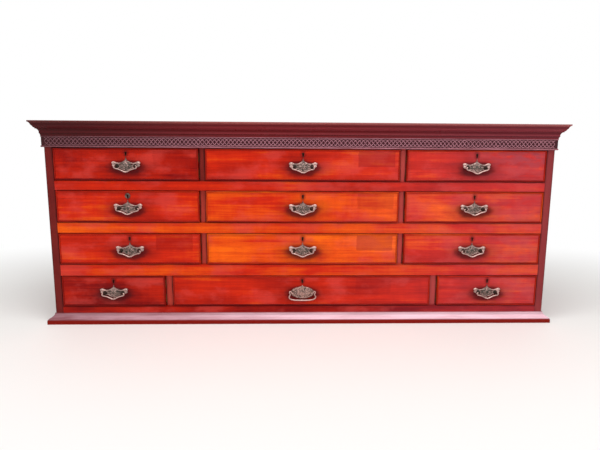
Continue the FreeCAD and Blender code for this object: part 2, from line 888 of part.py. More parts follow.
frieze_out = size("frieze_projection")
bead = size("frieze_bead_radius")
frieze_profile = [
    (0, 0),
    (frieze_out, 0), bulge(bead * NEARLY_HALF_ROUND),
    (frieze_out, bead * 2),
    (frieze_out, size("frieze_height")),
    (0, size("frieze_height")),
]
nodes.append(moulding("frieze", frieze_profile, frieze_out + bead, (row1_head, frieze_top)))

crown_out, crown_top = size("cornice_projection"), size("cornice_height")
crown_edge = crown_top - size("cornice_fascia")
foot_out = frieze_out + size("cornice_foot_step")
cove_out, cove_top = frieze_out + size("cornice_cove_step"), crown_edge - size("cornice_cove_drop")
ogee_out, ogee_foot = crown_out - size("cornice_ogee_depth"), crown_edge - size("cornice_ogee_drop")
fillet = size("cornice_fillet")
cornice_profile = [
    (0, 0),
    (foot_out, 0),
    (foot_out, size("cornice_foot_height")), hollow(size("cornice_cove_radius")),
    (cove_out, cove_top),
    (cove_out + fillet, cove_top),
    (cove_out + fillet, cove_top + fillet),
    (ogee_out, ogee_foot),
    (ogee_out, ogee_foot + fillet), bulge(size("cornice_ogee_radius")),
    (crown_out - size("cornice_turn_depth"), crown_edge - size("cornice_turn_drop")),
    hollow(size("cornice_ogee_radius")),
    (crown_out - size("cornice_lip"), crown_edge),
    (crown_out, crown_edge),
    (crown_out, crown_top),
    (0, crown_top),
]
nodes.append(moulding("cornice", cornice_profile, crown_out, (frieze_top, top)))

# ---------------------------------------------------------------- check and write

doc.recompute()
for thing in doc.Objects:
    if "Invalid" in thing.State or "Error" in thing.State:
        raise RuntimeError(f"{thing.Name} failed: {thing.State}")
os.makedirs("parts", exist_ok=True)
for node in nodes:
    if node.Shape.isNull() or not node.Shape.isValid():
        raise RuntimeError(f"{node.Label} has no valid shape")
    if any(solid.Volume <= 0 for solid in node.Shape.Solids):
        raise RuntimeError(f"{node.Label} has an empty solid")
    node.Shape.exportStep(f"parts/{node.Label}.step")
print(len(nodes), "nodes,", sum(len(node.Shape.Solids) for node in nodes), "solids")
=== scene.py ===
"""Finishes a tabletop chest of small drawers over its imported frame.

Boards get eased edges and polished mahogany, the frieze its running carving, and each drawer a
brass drop handle, a lined keyhole and its lock. Lengths are in metres in the frame's axes:
+X to the right, -Y to the front, +Z up.
"""

import json
import math
from functools import partial
from random import Random

import bmesh
import bpy
from bpy.props import FloatProperty, FloatVectorProperty, PointerProperty
from mathutils import Matrix, Vector


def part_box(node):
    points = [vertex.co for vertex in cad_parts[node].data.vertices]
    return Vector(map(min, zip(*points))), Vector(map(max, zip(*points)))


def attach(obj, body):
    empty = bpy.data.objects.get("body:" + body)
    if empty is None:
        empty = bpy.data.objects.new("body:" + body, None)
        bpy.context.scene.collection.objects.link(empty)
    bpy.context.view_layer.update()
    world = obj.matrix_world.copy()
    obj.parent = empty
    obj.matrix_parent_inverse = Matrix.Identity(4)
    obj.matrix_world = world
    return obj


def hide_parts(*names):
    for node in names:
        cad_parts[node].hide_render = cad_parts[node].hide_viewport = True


bl_info = {
    "name": "Type case cabinet",
    "version": (1, 0, 0),
    "blender": (4, 5, 0),
    "location": "View3D > Sidebar > Type case",
    "description": "Finishes the boards, mouldings, handles and locks of a chest of small drawers",
    "category": "Object",
}

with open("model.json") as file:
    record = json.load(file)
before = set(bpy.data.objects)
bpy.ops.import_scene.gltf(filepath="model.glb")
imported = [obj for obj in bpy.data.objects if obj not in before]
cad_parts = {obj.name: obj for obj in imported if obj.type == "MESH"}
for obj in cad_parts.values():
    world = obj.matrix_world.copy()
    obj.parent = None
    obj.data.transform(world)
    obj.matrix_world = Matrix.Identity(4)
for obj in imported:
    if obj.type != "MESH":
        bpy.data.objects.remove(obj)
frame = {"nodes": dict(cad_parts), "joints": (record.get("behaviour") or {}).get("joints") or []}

MM = 0.001


def mm(*lengths):
    return tuple(length * MM for length in lengths)


DRAWERS = [f"row{row}_{column}" for row in (1, 2, 3, 4) for column in ("left", "centre", "right")]
OVAL_HANDLED = "row4_centre"
ROUND_ESCUTCHEON = "row2_left"
JOINTS = {joint["name"]: joint for joint in frame["joints"]}
CARCASE = "carcase"
DRAWER_SOLIDS = ("front", "foot_bead", "bead", "bead", "bead", "side", "side", "rear", "bottom")
FITTING_SOLIDS = ("plate", "post", "nut", "post", "nut", "lock_case")
# the plait of the frieze, and how finely its strands follow their waves
STRANDS = 4
STEPS_PER_CREST = 5
# the small hollow that leads from the frieze to the cornice: (height over the frieze's foot, out)
NECK = [mm(*corner) for corner in ((23.4, 0), (23.4, 0.5), (24.5, 0.6), (25.9, 0.75), (27.3, 1.2),
                                   (28.5, 1.9), (28.5, 2.25), (30, 2.25))]
# how light each board is: 0 is the dark colour of its wood and 1 the light one; the top row is kept darker
# in part as painted shade under the cornice
FRONT_TONES = {
    "row1_left": 0.23, "row1_centre": 0.46, "row1_right": 0.42,
    "row2_left": 0.46, "row2_centre": 0.66, "row2_right": 0.60,
    "row3_left": 0.47, "row3_centre": 0.80, "row3_right": 0.52,
    "row4_left": 0.17, "row4_centre": 0.38, "row4_right": 0.50,
}
# the bead along the foot of a front is painted darker by this, as painted shadow in the gap under each
# drawer
FOOT_BEAD_SHADE = 0.35
# these two run from the lowest board to the highest; some of the highest are kept darker, in part as
# painted shade under the cornice
RAIL_TONES = (0.14, 0.56, 0.66, 0.42, 0.3)
DIVIDER_TONES = (0.8, 0.92, 0.76, 1.1, 0.76, 0.9, 0.32, 0.95)
# the outer parts of the carcase, with their wood and the tone of each board; the left end is kept darker
# as painted shade
OUTER_PARTS = {
    "left_end": ("case mahogany", [0.3]),
    "right_end": ("case mahogany", [0.6]),
    "top_board": ("case mahogany", [0.5]),
    "cornice": ("moulding mahogany", []),
    "plinth": ("plinth mahogany", []),
    "rails": ("rail mahogany", RAIL_TONES),
    "dividers": ("upright mahogany", DIVIDER_TONES),
}
INNER_PARTS = ("back_boards", "bottom_board", "runners", "drawer_guides")
# how dark the mark of a lost label is, from 0 to 1, and how far right of the handle it begins, in m
LABEL_GHOSTS = {
    "row1_left": (0.45, 0.057),
    "row1_centre": (1.0, 0.12),
    "row2_centre": (0.6, 0.12),
    "row3_left": (0.9, 0.057),
    "row3_centre": (0.9, 0.12),
    "row4_centre": (0.5, 0.12),
}
NO_GHOST = (0.0, 0.0)
# what each point of a board holds for its finish: its place along the grain, its way from the
# drawer's handle and from the board's middle, and the board's half sizes, ghost, tone and relief
VECTOR_MARKS = ("grain", "from_handle", "from_middle", "half_sizes", "ghost")
NUMBER_MARKS = ("tone", "relief")
# where boards without a handle are from one
FAR_AWAY = Vector((9, 9, 9))
# the camera's turn is in degrees about x, y and z
CAMERA_PLACE, CAMERA_TURN = (-0.0327, -1.1716, 0.3675), (81.66, -0.33, -1.49)
LAMP_TARGET = Vector((0, -0.1, 0.15))
# each lamp's place, and its width and height
LAMPS = {
    "overhead": ((0, -0.75, 1.9), (1.9, 0.9)),
    "front": ((1.1, -2.4, 1.3), (1.6, 1.2)),
    "side": ((-2.2, -1.4, 1.2), (1.0, 1.4)),
}
# the share of the right end that a painted reflection of light covers
FRONT_SHEEN, END_SHEEN, UPRIGHT_SHEEN, CORNICE_SHEEN = 0.045, 0.03, 0.09, 0.02


# -------------------- settings


def colour(name, description, *display):
    """A colour given as shown, 0 to 255, and kept as the linear one that materials use."""
    default = [round((c / 255) ** 2.2, 4) for c in display]
    return FloatVectorProperty(name=name, description=description, default=default,
                               subtype="COLOR", size=3, min=0, max=1)


def length(name, description, default):
    return FloatProperty(name=name, description=description, default=default * MM,
                         subtype="DISTANCE", unit="LENGTH", min=0, precision=5)


def amount(name, description, default, **limits):
    return FloatProperty(name=name, description=description, default=default, min=0, **limits)


class WoodSettings(bpy.types.PropertyGroup):
    """Colours and edges of the woods."""

    front_dark: colour("Front, dark", "Dark streaks of the drawer fronts", 124, 10, 8)
    front_middle: colour("Front, middle", "Usual colour of the drawer fronts", 198, 40, 14)
    front_light: colour("Front, light", "Bright figure of the drawer fronts", 246, 104, 16)
    case_dark: colour("Case, dark", "Dark streaks of the ends", 84, 18, 18)
    case_light: colour("Case, light", "Light streaks of the ends", 158, 56, 50)
    upright_dark: colour("Upright, dark", "Dark streaks of the dividers", 96, 22, 22)
    upright_light: colour("Upright, light", "Light streaks of the dividers", 196, 70, 58)
    # the cornice's bands are painted light: its dark is the painted shade of the hollows, its light and
    # lip the painted highlights of the rounds and top edge; dark and light are also the streaks of the
    # moulding wood
    moulding_dark: colour("Moulding, dark", "Hollows of the cornice", 92, 9, 16)
    moulding_light: colour("Moulding, light", "Rounds of the cornice", 128, 45, 50)
    moulding_lip_highlight: colour("Moulding, lip", "Rubbed top edge of the cornice", 148, 84, 80)
    # painted shade, thicker towards the left end of the mouldings, frieze and plinth
    left_shade: colour("Dirt, left", "Dirt that thickens towards the left of the mouldings", 52, 4, 8)
    # painted reflection of light, thicker towards the right end
    right_sheen: colour("Dust, right", "Thin dust that thickens towards the right end", 130, 140, 190)
    carving_plain: colour("Frieze, plain", "Flat of the frieze over the carving", 104, 42, 44)
    # the carving's sunk ground and tops are partly dirt and rubbing, partly painted shade and painted
    # highlights
    carving_dark: colour("Carving, ground", "Sunk ground of the frieze", 60, 12, 24)
    carving_light: colour("Carving, top", "Rubbed tops of the frieze", 180, 120, 132)
    # a painted reflection of light on the plinth's slope
    plinth_sheen: colour("Plinth, bloom", "Pale bloom on the slope of the plinth", 236, 194, 206)
    plinth_foot: colour("Plinth, foot", "Upright edge at the plinth's foot", 122, 22, 10)
    lining_dark: colour("Lining, dark", "Dark streaks of the drawer linings", 120, 84, 50)
    lining_light: colour("Lining, light", "Light streaks of the drawer linings", 190, 150, 100)
    # painted sheen on the upper drawer fronts towards the right end
    upper_right_sheen: colour("Front, right haze", "Dull polish towards the right end", 150, 60, 66)
    front_haze: colour("Front, haze", "Cloudy old polish on the drawer fronts", 204, 72, 66)
    # old polish gone dark round the handles, with painted shadow under them
    handle_grime_and_shadow: colour("Handle grime", "Old polish round the handles", 64, 8, 16)
    eased_edge: length("Eased edge", "Rounding of the boards' edges", 0.35)
    bead_round: length("Bead rounding", "Rounding of the cock beads' front edges", 1.3)
    ghost_width: length("Label width", "Width of the lost labels", 80.0)
    ghost_height: length("Label height", "Height of the lost labels", 33.0)
    ghost_strength: amount("Label ghost", "How dark the mark of a lost label is", 0.4,
                           subtype="FACTOR", max=1)


class CarvingSettings(bpy.types.PropertyGroup):
    """The interlaced carving of the frieze."""

    pitch: length("Pitch", "From one crest of the plait to the next", 8.6)
    swing: length("Swing", "How far a strand swings from the middle line", 7.4)
    middle_height: length("Middle height", "Middle line of the carving over the frieze's foot", 12.4)
    strand_width: length("Strand width", "Width of a strand", 2.1)
    strand_height: length("Strand height", "How far a strand stands out", 1.3)
    end_margin: length("End margin", "Plain wood between the carving and a corner", 8.0)
    ground_height: length("Ground height", "Height of the sunk ground behind the carving", 18.0)
    rule_height: length("Rule height", "Height of the thin bead over the carving", 22.4)
    rule_radius: length("Rule radius", "Radius of the thin bead over the carving", 0.9)


class BrassSettings(bpy.types.PropertyGroup):
    """Colours and sizes of the handles and locks."""

    body: colour("Brass", "Tarnished brass", 120, 100, 92)
    recess: colour("Recess", "Dirt and verdigris in the hollows", 40, 44, 36)
    rubbed: colour("Rubbed brass", "High spots that hands keep bright", 200, 164, 156)
    warm: colour("Warm brass", "Cleaner brass of the oval handle", 182, 132, 102)
    dull: colour("Dull brass", "Posts and linings, brown with age", 58, 34, 28)
    steel: colour("Lock steel", "Plates of the locks", 120, 112, 104)
    plate_thickness: length("Plate thickness", "Thickness of the backing plates", 1.6)
    pivot_standoff: length("Pivot standoff", "From the drawer's face to the bail's pivot", 7.5)
    post_spacing: length("Post spacing", "Between the posts of a winged handle", 39.0)
    oval_post_spacing: length("Oval post spacing", "Between the posts of the oval handle", 43.0)
    scroll_radius: length("Scroll radius", "Raised scrolls of the winged plates", 0.62)
    border_radius: length("Border radius", "Raised borders of the oval plate", 0.45)
    bail_radius: length("Bail radius", "Radius of a bail where it is neither thick nor thin", 1.35)
    keyhole_height: length("Keyhole height", "From a bail's pivot up to the keyhole's eye", 28.0)
    lining_depth: length("Lining depth", "How deep the lining of a keyhole is", 3.0)
    lining_stands_out: length("Lining stands out", "How far a lining is in front of the drawer", 0.2)
    disc_radius: length("Disc radius", "Radius of the one round escutcheon", 5.8)
    disc_drop: length("Disc drop", "Its middle is this far under the keyhole's eye", 1.0)
    disc_thickness: length("Disc thickness", "Thickness of the round escutcheon", 0.9)


class StageSettings(bpy.types.PropertyGroup):
    """Camera, lamps and floor."""

    lens: amount("Lens", "Focal length for a 36 mm film", 27.3, unit="CAMERA")
    overhead_power: amount("Overhead lamp", "Power of the overhead lamp", 26.0, unit="POWER")
    front_power: amount("Front lamp", "Power of the lamp at the front", 20.0, unit="POWER")
    side_power: amount("Side lamp", "Power of the lamp at the left", 9.0, unit="POWER")
    room_light: amount("Room light", "Strength of the light all round", 0.45)
    floor: colour("Floor", "Pale floor", 238, 236, 233)


# -------------------- shader writing


def math_method(operation, swapped=False):
    """A method that adds a Math node on a wire and its terms, or on the terms and then the wire."""

    def method(wire, *terms):
        terms = (*terms, wire) if swapped else (wire, *terms)
        return wire.paint.node("ShaderNodeMath", {"operation": operation}, dict(enumerate(terms)))

    return method


class Wire:
    """A number in a material: arithmetic on it adds Math nodes."""

    def __init__(self, paint, socket):
        self.paint = paint
        self.socket = socket

    __add__ = __radd__ = math_method("ADD")
    __sub__ = math_method("SUBTRACT")
    __rsub__ = math_method("SUBTRACT", swapped=True)
    __mul__ = __rmul__ = math_method("MULTIPLY")
    __truediv__ = math_method("DIVIDE")
    __pow__ = math_method("POWER")
    __abs__ = math_method("ABSOLUTE")
    least = math_method("MINIMUM")
    most = math_method("MAXIMUM")

    def between(self, low, high):
        """0 below low, 1 above high and a smooth step from one to the other."""
        return self.paint.node("ShaderNodeMapRange", {"interpolation_type": "SMOOTHSTEP"},
                               {"Value": self, "From Min": low, "From Max": high})


class Paint:
    """Writes the nodes of one material, or of the world."""

    def __init__(self, name, world=False):
        self.made = (bpy.data.worlds if world else bpy.data.materials).new(name)
        self.out_kind = "ShaderNodeOutputWorld" if world else "ShaderNodeOutputMaterial"
        self.made.use_nodes = True
        self.tree = self.made.node_tree
        self.tree.nodes.clear()

    def node(self, kind, settings=None, inputs=None, output=0):
        """Adds a node: its settings come first, then the values or links of its sockets."""
        made = self.tree.nodes.new(kind)
        for name, value in (settings or {}).items():
            if name == "stops":
                self.set_stops(made.color_ramp, value)
            else:
                setattr(made, name, value)
        for name, value in (inputs or {}).items():
            if isinstance(value, Wire):
                self.tree.links.new(value.socket, made.inputs[name])
            else:
                made.inputs[name].default_value = value
        return Wire(self, made.outputs[output]) if made.outputs else None

    def set_stops(self, ramp, stops):
        while len(ramp.elements) < len(stops):
            ramp.elements.new(1.0)
        for element, (place, shade) in zip(ramp.elements, stops):
            element.position = place
            element.color = (*shade, 1.0)

    def ramp(self, factor, stops):
        return self.node("ShaderNodeValToRGB", {"stops": stops}, {"Fac": factor})

    def mix(self, factor, first, second):
        """Mixes two colours, each of them a wire or three numbers."""
        first, second = (c if isinstance(c, Wire) else (*c, 1.0) for c in (first, second))
        return self.node("ShaderNodeMix", {"data_type": "RGBA"}, {0: factor, 6: first, 7: second}, 2)

    def vector_math(self, operation, *terms, output=0):
        return self.node("ShaderNodeVectorMath", {"operation": operation}, dict(enumerate(terms)), output)

    def noise(self, place, along, across=None, detail=3.0, roughness=0.5, distortion=0.0):
        """Noise with this many spots in a metre along the place's first axis, and across it."""
        across = across or along
        stretched = self.vector_math("MULTIPLY", place, (along, across, across))
        return self.node("ShaderNodeTexNoise", None,
                         {"Vector": stretched, "Scale": 1.0, "Detail": detail, "Roughness": roughness,
                          "Distortion": distortion})

    def attribute(self, name, output="Fac"):
        """One of the marks that each point of a board holds, as a number or a vector."""
        return self.node("ShaderNodeAttribute", {"attribute_name": name}, output=output)

    def parts(self, place):
        """The three numbers of a vector."""
        split = self.node("ShaderNodeSeparateXYZ", None, {0: place})
        return [Wire(self, socket) for socket in split.socket.node.outputs]

    def parts_of(self, name):
        return self.parts(self.attribute(name, "Vector"))

    def spot(self):
        """How far right, back and up a point is in its piece's own axes."""
        return self.parts(self.node("ShaderNodeTexCoord", output="Object"))

    def own_place(self):
        """Where a point is on its piece, shifted so that no two pieces are marked alike."""
        return self.vector_math("ADD", self.node("ShaderNodeTexCoord", output="Object"),
                                self.node("ShaderNodeObjectInfo", output="Random"))

    def edge_distance(self):
        """How far a point on a board is from the board's nearest edge."""
        from_middle = self.vector_math("ABSOLUTE", self.attribute("from_middle", "Vector"))
        half_sizes = self.attribute("half_sizes", "Vector")
        a, b, c = self.parts(self.vector_math("SUBTRACT", half_sizes, from_middle))
        return a.least(b).most(a.most(b).least(c))

    def seen(self):
        """1 for a ray from the camera, a mirror or a glass, 0 for the rays that light things."""
        camera, glossy, clear = (self.node("ShaderNodeLightPath", output=f"Is {kind} Ray")
                                 for kind in ("Camera", "Glossy", "Transmission"))
        return camera.most(glossy).most(clear)

    def bump(self, height, distance, strength):
        return self.node("ShaderNodeBump", None,
                         {"Height": height, "Distance": distance, "Strength": strength})

    def finish(self, **sockets):
        """Ends the material in a Principled shader with these sockets."""
        named = {name.replace("_", " ").title().replace("Ior", "IOR"): value
                 for name, value in sockets.items()}
        self.ended(self.node("ShaderNodeBsdfPrincipled", None, named))

    def ended(self, shader):
        self.node(self.out_kind, None, {"Surface": shader})
        return self.made


# -------------------- finishes


def halfway(first, second):
    return tuple((a + b) / 2 for a, b in zip(first, second))


def dimmed(shade, share):
    return tuple(c * share for c in shade)


def oval(across, up, half_width, half_height):
    """How far out a point is in an oval: 0 in its middle and 1 on its outline."""
    return ((across / half_width) ** 2 + (up / half_height) ** 2) ** 0.5


def strip(place, width):
    """1 from 0 to this width, with ends that are a little soft."""
    return place.between(-MM, MM) - (place - width).between(-MM, MM)


def wood(name, dark, middle, light, haze=None, spread=2.4, roughness=0.34, gloss=0.11, grime=0.35,
         unshaded_side=0, extra=None):
    """Polished wood. Its grain runs along the boards' own first axis, kept in their meshes.

    A board's tone says where it stands between dark and light, spread how strong its figure is
    and grime how dark its edges are, as dirt and as painted shade in the gaps between parts. The
    upper edges get less of it where the unshaded side is 1, and the lower ones where it is -1, so
    that painted shadow stays in the gap under each drawer. haze is the colour of cloudy old polish.
    extra takes the paint and the colour and returns the colour with this board's own marks.
    """
    paint = Paint(name)
    grain = paint.attribute("grain", "Vector")
    broad = paint.noise(grain, 6, 26, roughness=0.55, distortion=0.5)
    clouds = paint.noise(grain, 11, 17, detail=2)
    ribbon = paint.noise(grain, 3, 170, detail=4, roughness=0.6)
    fiddle = paint.noise(grain, 110, 14, detail=2)
    fine = paint.noise(grain, 24, 900, roughness=0.65)
    pores = paint.noise(grain, 110, 2600, detail=1.5)
    figure = broad * 0.34 + clouds * 0.21 + ribbon * 0.26 + fiddle * 0.05 + fine * 0.14
    shade = paint.ramp(paint.attribute("tone") + (figure - 0.5) * spread,
                       [(0.0, dark), (0.5, middle), (1.0, light)])
    if haze:
        cloudy = paint.noise(grain, 13, 21, detail=4, roughness=0.6)
        shade = paint.mix(cloudy.between(0.46, 0.66) * 0.4, shade, haze)
    pits = pores.between(0.60, 0.72)
    shade = paint.mix(pits * 0.4, shade, dark)
    if extra:
        shade = extra(paint, shade)
    worn = paint.noise(grain, 30, 45, detail=4)
    edge = paint.edge_distance() + (worn - 0.5) * (5 * MM)
    # edges darken as dirt and as painted shade in the gaps between parts
    dark_line, soft_border = edge.between(*mm(0.2, 3)), edge.between(*mm(0, 14))
    dirt = (1 - dark_line) * grime + (1 - soft_border) * (grime * 0.4)
    # the unshaded side keeps less of it, which leaves painted shadow in the gap under each drawer
    if unshaded_side:
        side = paint.parts_of("from_middle")[2] / paint.parts_of("half_sizes")[2]
        dirt = dirt * (1 - (side * unshaded_side).between(0.3, 0.9) * 0.7)
    paint.finish(
        base_color=paint.mix(dirt.least(0.95), shade, dimmed(dark, 0.25)),
        roughness=(worn * 0.22 + pits * 0.2) + (roughness - 0.11),
        specular_ior_level=gloss,
        normal=paint.bump(fine * 0.25 - pits * 0.6, 0.12 * MM, 0.6),
    )


def handle_grime_and_shadow(paint, shade):
    """A front's marks: polish gone dark round its handle with painted shadow under it, a lost label's
    ghost, a painted sheen to the upper right and a painted reflection towards the right end.
    """
    settings = bpy.context.scene.type_case_wood
    # the halo round the plate is partly grime and partly painted shadow, so it sits lower and reaches
    # further under the handle
    plate_half_sizes, plate_drop = mm(38, 16), 3.5 * MM
    keyhole_half_sizes, keyhole_rise = mm(7, 12), 26 * MM
    smear = paint.noise(paint.attribute("grain", "Vector"), 40, 90)
    across, _, up = paint.parts_of("from_handle")
    plate = oval(across, up + plate_drop, *plate_half_sizes) + (smear - 0.5) * 0.5
    plate_grime_and_shadow = (1 - plate.between(0.75, 1.3)) * 0.54 + (1 - plate.between(0.9, 2.1)) * 0.32
    near_keyhole = 1 - oval(across, up - keyhole_rise, *keyhole_half_sizes).between(0.4, 1.3)

    # painted sheen in patches on the upper fronts towards the right end
    right, _, height = paint.spot()
    cloudy = right.between(0.28, 0.52) * smear.between(0.3, 0.6)
    shade = paint.mix(cloudy * (0.3 + height.between(0.335, 0.375) * 0.42), shade, settings.upper_right_sheen)

    strength, start, _ = paint.parts_of("ghost")
    ragged = (smear - 0.5) * (6 * MM)
    ghost = (strength * strip(across - start + ragged, settings.ghost_width)
             * strip(up + ragged, settings.ghost_height))
    shade = paint.mix(ghost * settings.ghost_strength, shade, settings.front_dark)
    # painted reflection of light towards the right end
    shade = sheen_to_the_right(paint, shade, FRONT_SHEEN)
    # the handle's halo is grime and painted shadow; round the keyhole it is wear
    return paint.mix(plate_grime_and_shadow.most(near_keyhole * 0.5), shade, settings.handle_grime_and_shadow)


def shaded_to_the_left(paint, shade, most, thinning=-0.66):
    """Painted shade that covers this share of the left end and thins out towards the middle."""
    # the dark colour here is painted shade, laid on towards the left
    dirt = bpy.context.scene.type_case_wood.left_shade
    return paint.mix((1 - paint.spot()[0].between(thinning, -0.1)) * most, shade, dirt)


def sheen_to_the_right(paint, shade, most):
    """Painted reflection of light that thickens from the middle to cover this share of the right end."""
    reflection = bpy.context.scene.type_case_wood.right_sheen
    return paint.mix(paint.spot()[0].between(0, 0.5) * most, shade, reflection)


def sheen_on_slope(paint, shade):
    """Pale painted reflection of light on the slope of the plinth, thinner to the left and dimmer in its
    hollow, over a red upright foot.
    """
    settings = bpy.context.scene.type_case_wood
    foot_top, slope_start, slope_top = mm(7.8, 9.5), mm(8.2, 11.5), mm(20.6, 22.2)
    hollow_start, hollow_top = mm(15.5, 18.5), mm(20.4, 21.2)
    across, _, height = paint.spot()
    patchy = paint.noise(paint.attribute("grain", "Vector"), 9, 60, detail=4)
    # the painted reflection is dimmer in the hollow, and thinner to the left where painted shade lies
    hollow = height.between(*hollow_start) * (1 - height.between(*hollow_top))
    sheen = paint.mix(hollow * 0.6, settings.plinth_sheen, dimmed(settings.plinth_sheen, 0.55))
    thickness = (across.between(-0.58, 0.1) * 0.62 + across.between(0, 0.5) * 0.1
                 + patchy.between(0.3, 0.7) * 0.26 + 0.1)
    slope = height.between(*slope_start) * (1 - height.between(*slope_top) * 0.6)
    shade = shaded_to_the_left(paint, shade, 0.4)
    shade = paint.mix(1 - height.between(*foot_top), shade, settings.plinth_foot)
    return paint.mix(slope * thickness, shade, sheen)


def shade_and_highlight_bands(paint, shade):
    """Bands of the cornice: painted highlights on the rounds and the top edge, and painted shade in the
    quirks between them.
    """
    settings = bpy.context.scene.type_case_wood
    low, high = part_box("frieze")[0].z + NECK[0][0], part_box("cornice")[1].z
    height = paint.spot()[2]
    dark, light, lip = settings.moulding_dark, settings.moulding_light, settings.moulding_lip_highlight
    deep, middle = dimmed(dark, 0.7), halfway(dark, light)
    # painted light by height: shade in the quirks, highlights on the rounds and on the top edge
    bands = paint.ramp((height - low) / (high - low), [
        (0.0, middle), (0.085, middle), (0.14, deep), (0.17, deep), (0.22, light), (0.29, light),
        (0.35, dark), (0.44, dark), (0.50, middle), (0.57, light), (0.63, light), (0.70, middle),
        (0.77, deep), (0.84, light), (0.89, lip), (0.975, lip), (1.0, middle),
    ])
    banded = shaded_to_the_left(paint, paint.mix(0.86, shade, bands), 0.78, -0.54)
    banded = sheen_to_the_right(paint, banded, CORNICE_SHEEN)
    flat_top = (height - high).between(*mm(-0.4, -0.1))
    return paint.mix(flat_top, banded, paint.mix(0.5, shade, settings.case_light))


def carved_wood():
    """Dark carving with a pricked ground, darker from dirt and painted shade, and tops lighter from
    rubbing and painted highlights; relief is 0 on the ground and 1 on top.
    """
    settings = bpy.context.scene.type_case_wood
    carving = bpy.context.scene.type_case_carving
    paint = Paint("frieze carving")
    grain = paint.attribute("grain", "Vector")
    relief = paint.attribute("relief")
    height = paint.spot()[2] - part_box("frieze")[0].z
    reach, softness = carving.ground_height / 2, 0.3 * MM
    ground = 1 - abs(height - carving.middle_height).between(reach - softness, reach + softness)
    foot_bead = 1 - height.between(*mm(3.2, 3.6))
    streak = paint.noise(grain, 30, 500)
    pricks = paint.node("ShaderNodeTexVoronoi", None, {"Vector": grain, "Scale": 900.0}, "Distance")
    # the tops and the foot bead are lighter partly from rubbing and partly as painted highlights
    rubbed = (relief.most(foot_bead * 0.8) + (streak - 0.5) * 0.8).between(0.35, 1.15)
    plain = paint.mix(streak.between(0.3, 0.7), dimmed(settings.carving_plain, 0.8),
                      settings.carving_plain)
    shade = paint.mix(ground, plain, settings.carving_dark)
    shade = paint.mix(rubbed, shade, settings.carving_light)
    paint.finish(
        base_color=shaded_to_the_left(paint, shade, 0.7),
        roughness=0.55 - rubbed * 0.15,
        specular_ior_level=0.22,
        normal=paint.bump(pricks.between(0, 0.5) * (1 - relief) * ground + streak * 0.2, 0.3 * MM, 0.7),
    )


def brass(name, body, recess, rubbed, roughness=0.38, extra=None):
    """Old metal: bright on edges and high spots, dirty in the hollows. No two pieces are alike."""
    paint = Paint(name)
    place = paint.own_place()
    edge = paint.node("ShaderNodeNewGeometry", output="Pointiness")
    cloud = paint.noise(place, 190, detail=5, roughness=0.65)
    specks = paint.noise(place, 1500, detail=2)
    high = (edge + (cloud - 0.5) * 0.12).between(0.49, 0.57)
    low = 1 - (edge + (cloud - 0.5) * 0.14).between(0.43, 0.505)
    shade = paint.mix(cloud.between(0.4, 0.62), recess, body)
    shade = paint.mix(high, shade, rubbed)
    shade = paint.mix(low * 0.9, shade, recess)
    if extra:
        shade = extra(paint, shade)
    paint.finish(
        base_color=shade,
        metallic=0.5 + high * 0.35,
        roughness=roughness + cloud * 0.16 - high * 0.12,
        normal=paint.bump(specks * 0.5 + cloud * 0.5, 0.08 * MM, 0.5),
    )


def plate_wear_and_shading(paint, shade):
    """Wing tips bright from fingers and painted highlights, a green middle, a dull crest, and dirt and
    painted shadow round each post.
    """
    settings = bpy.context.scene.type_case_brass
    middle_half_sizes, post_half_sizes = mm(17, 8.5), mm(4.6, 3)
    across, _, up = paint.spot()
    side = abs(across)
    mottle = paint.noise(paint.own_place(), 420)
    patches = paint.noise(paint.own_place(), 140)
    # wing tips: rubbed brass and painted highlights
    tip = side.between(*mm(19.5, 23.5)) * (0.1 + patches.between(0.42, 0.6) * 0.75)
    middle = 1 - oval(across, up, *middle_half_sizes).between(0.7, 1.15)
    crest = up.between(*mm(8.5, 13.5)) * (1 - side.between(*mm(6, 9)))
    # dirt and painted shadow where each post and bail arm stand off the plate
    post = 1 - oval(side - settings.post_spacing / 2, up, *post_half_sizes).between(0.75, 1.2)
    shade = paint.mix(tip, shade, settings.rubbed)
    shade = paint.mix(middle * mottle.between(0.3, 0.6) * 0.75, shade, settings.recess)
    shade = paint.mix(crest * 0.55, shade, settings.dull)
    return paint.mix(post * 0.92, shade, dimmed(settings.recess, 0.4))


def leaf_speckle(paint, shade):
    """Dark dirt between the small leaves of the oval plate."""
    settings = bpy.context.scene.type_case_brass
    dots = paint.noise(paint.own_place(), 520, detail=2, roughness=0.6)
    return paint.mix(dots.between(0.47, 0.55) * 0.75, shade, halfway(settings.recess, settings.dull))


# -------------------- boards


def solids_of(node):
    """Each closed solid of a node as its triangles: a solid is whole where no edge is open."""
    mesh = frame["nodes"][node].data
    places = [tuple(round(c, 6) for c in vertex.co) for vertex in mesh.vertices]
    found, solid, open_edges = [], [], set()
    for polygon in mesh.polygons:
        corners = [places[index] for index in polygon.vertices]
        solid.append(corners)
        for edge in zip(corners, corners[1:] + corners[:1]):
            if edge[::-1] in open_edges:
                open_edges.remove(edge[::-1])
            else:
                open_edges.add(edge)
        if not open_edges:
            found.append(solid)
            solid = []
    if solid:
        raise RuntimeError(f"{node} ends in an open solid")
    return found


def lowest(solid, axis):
    return min(place[axis] for corners in solid for place in corners)


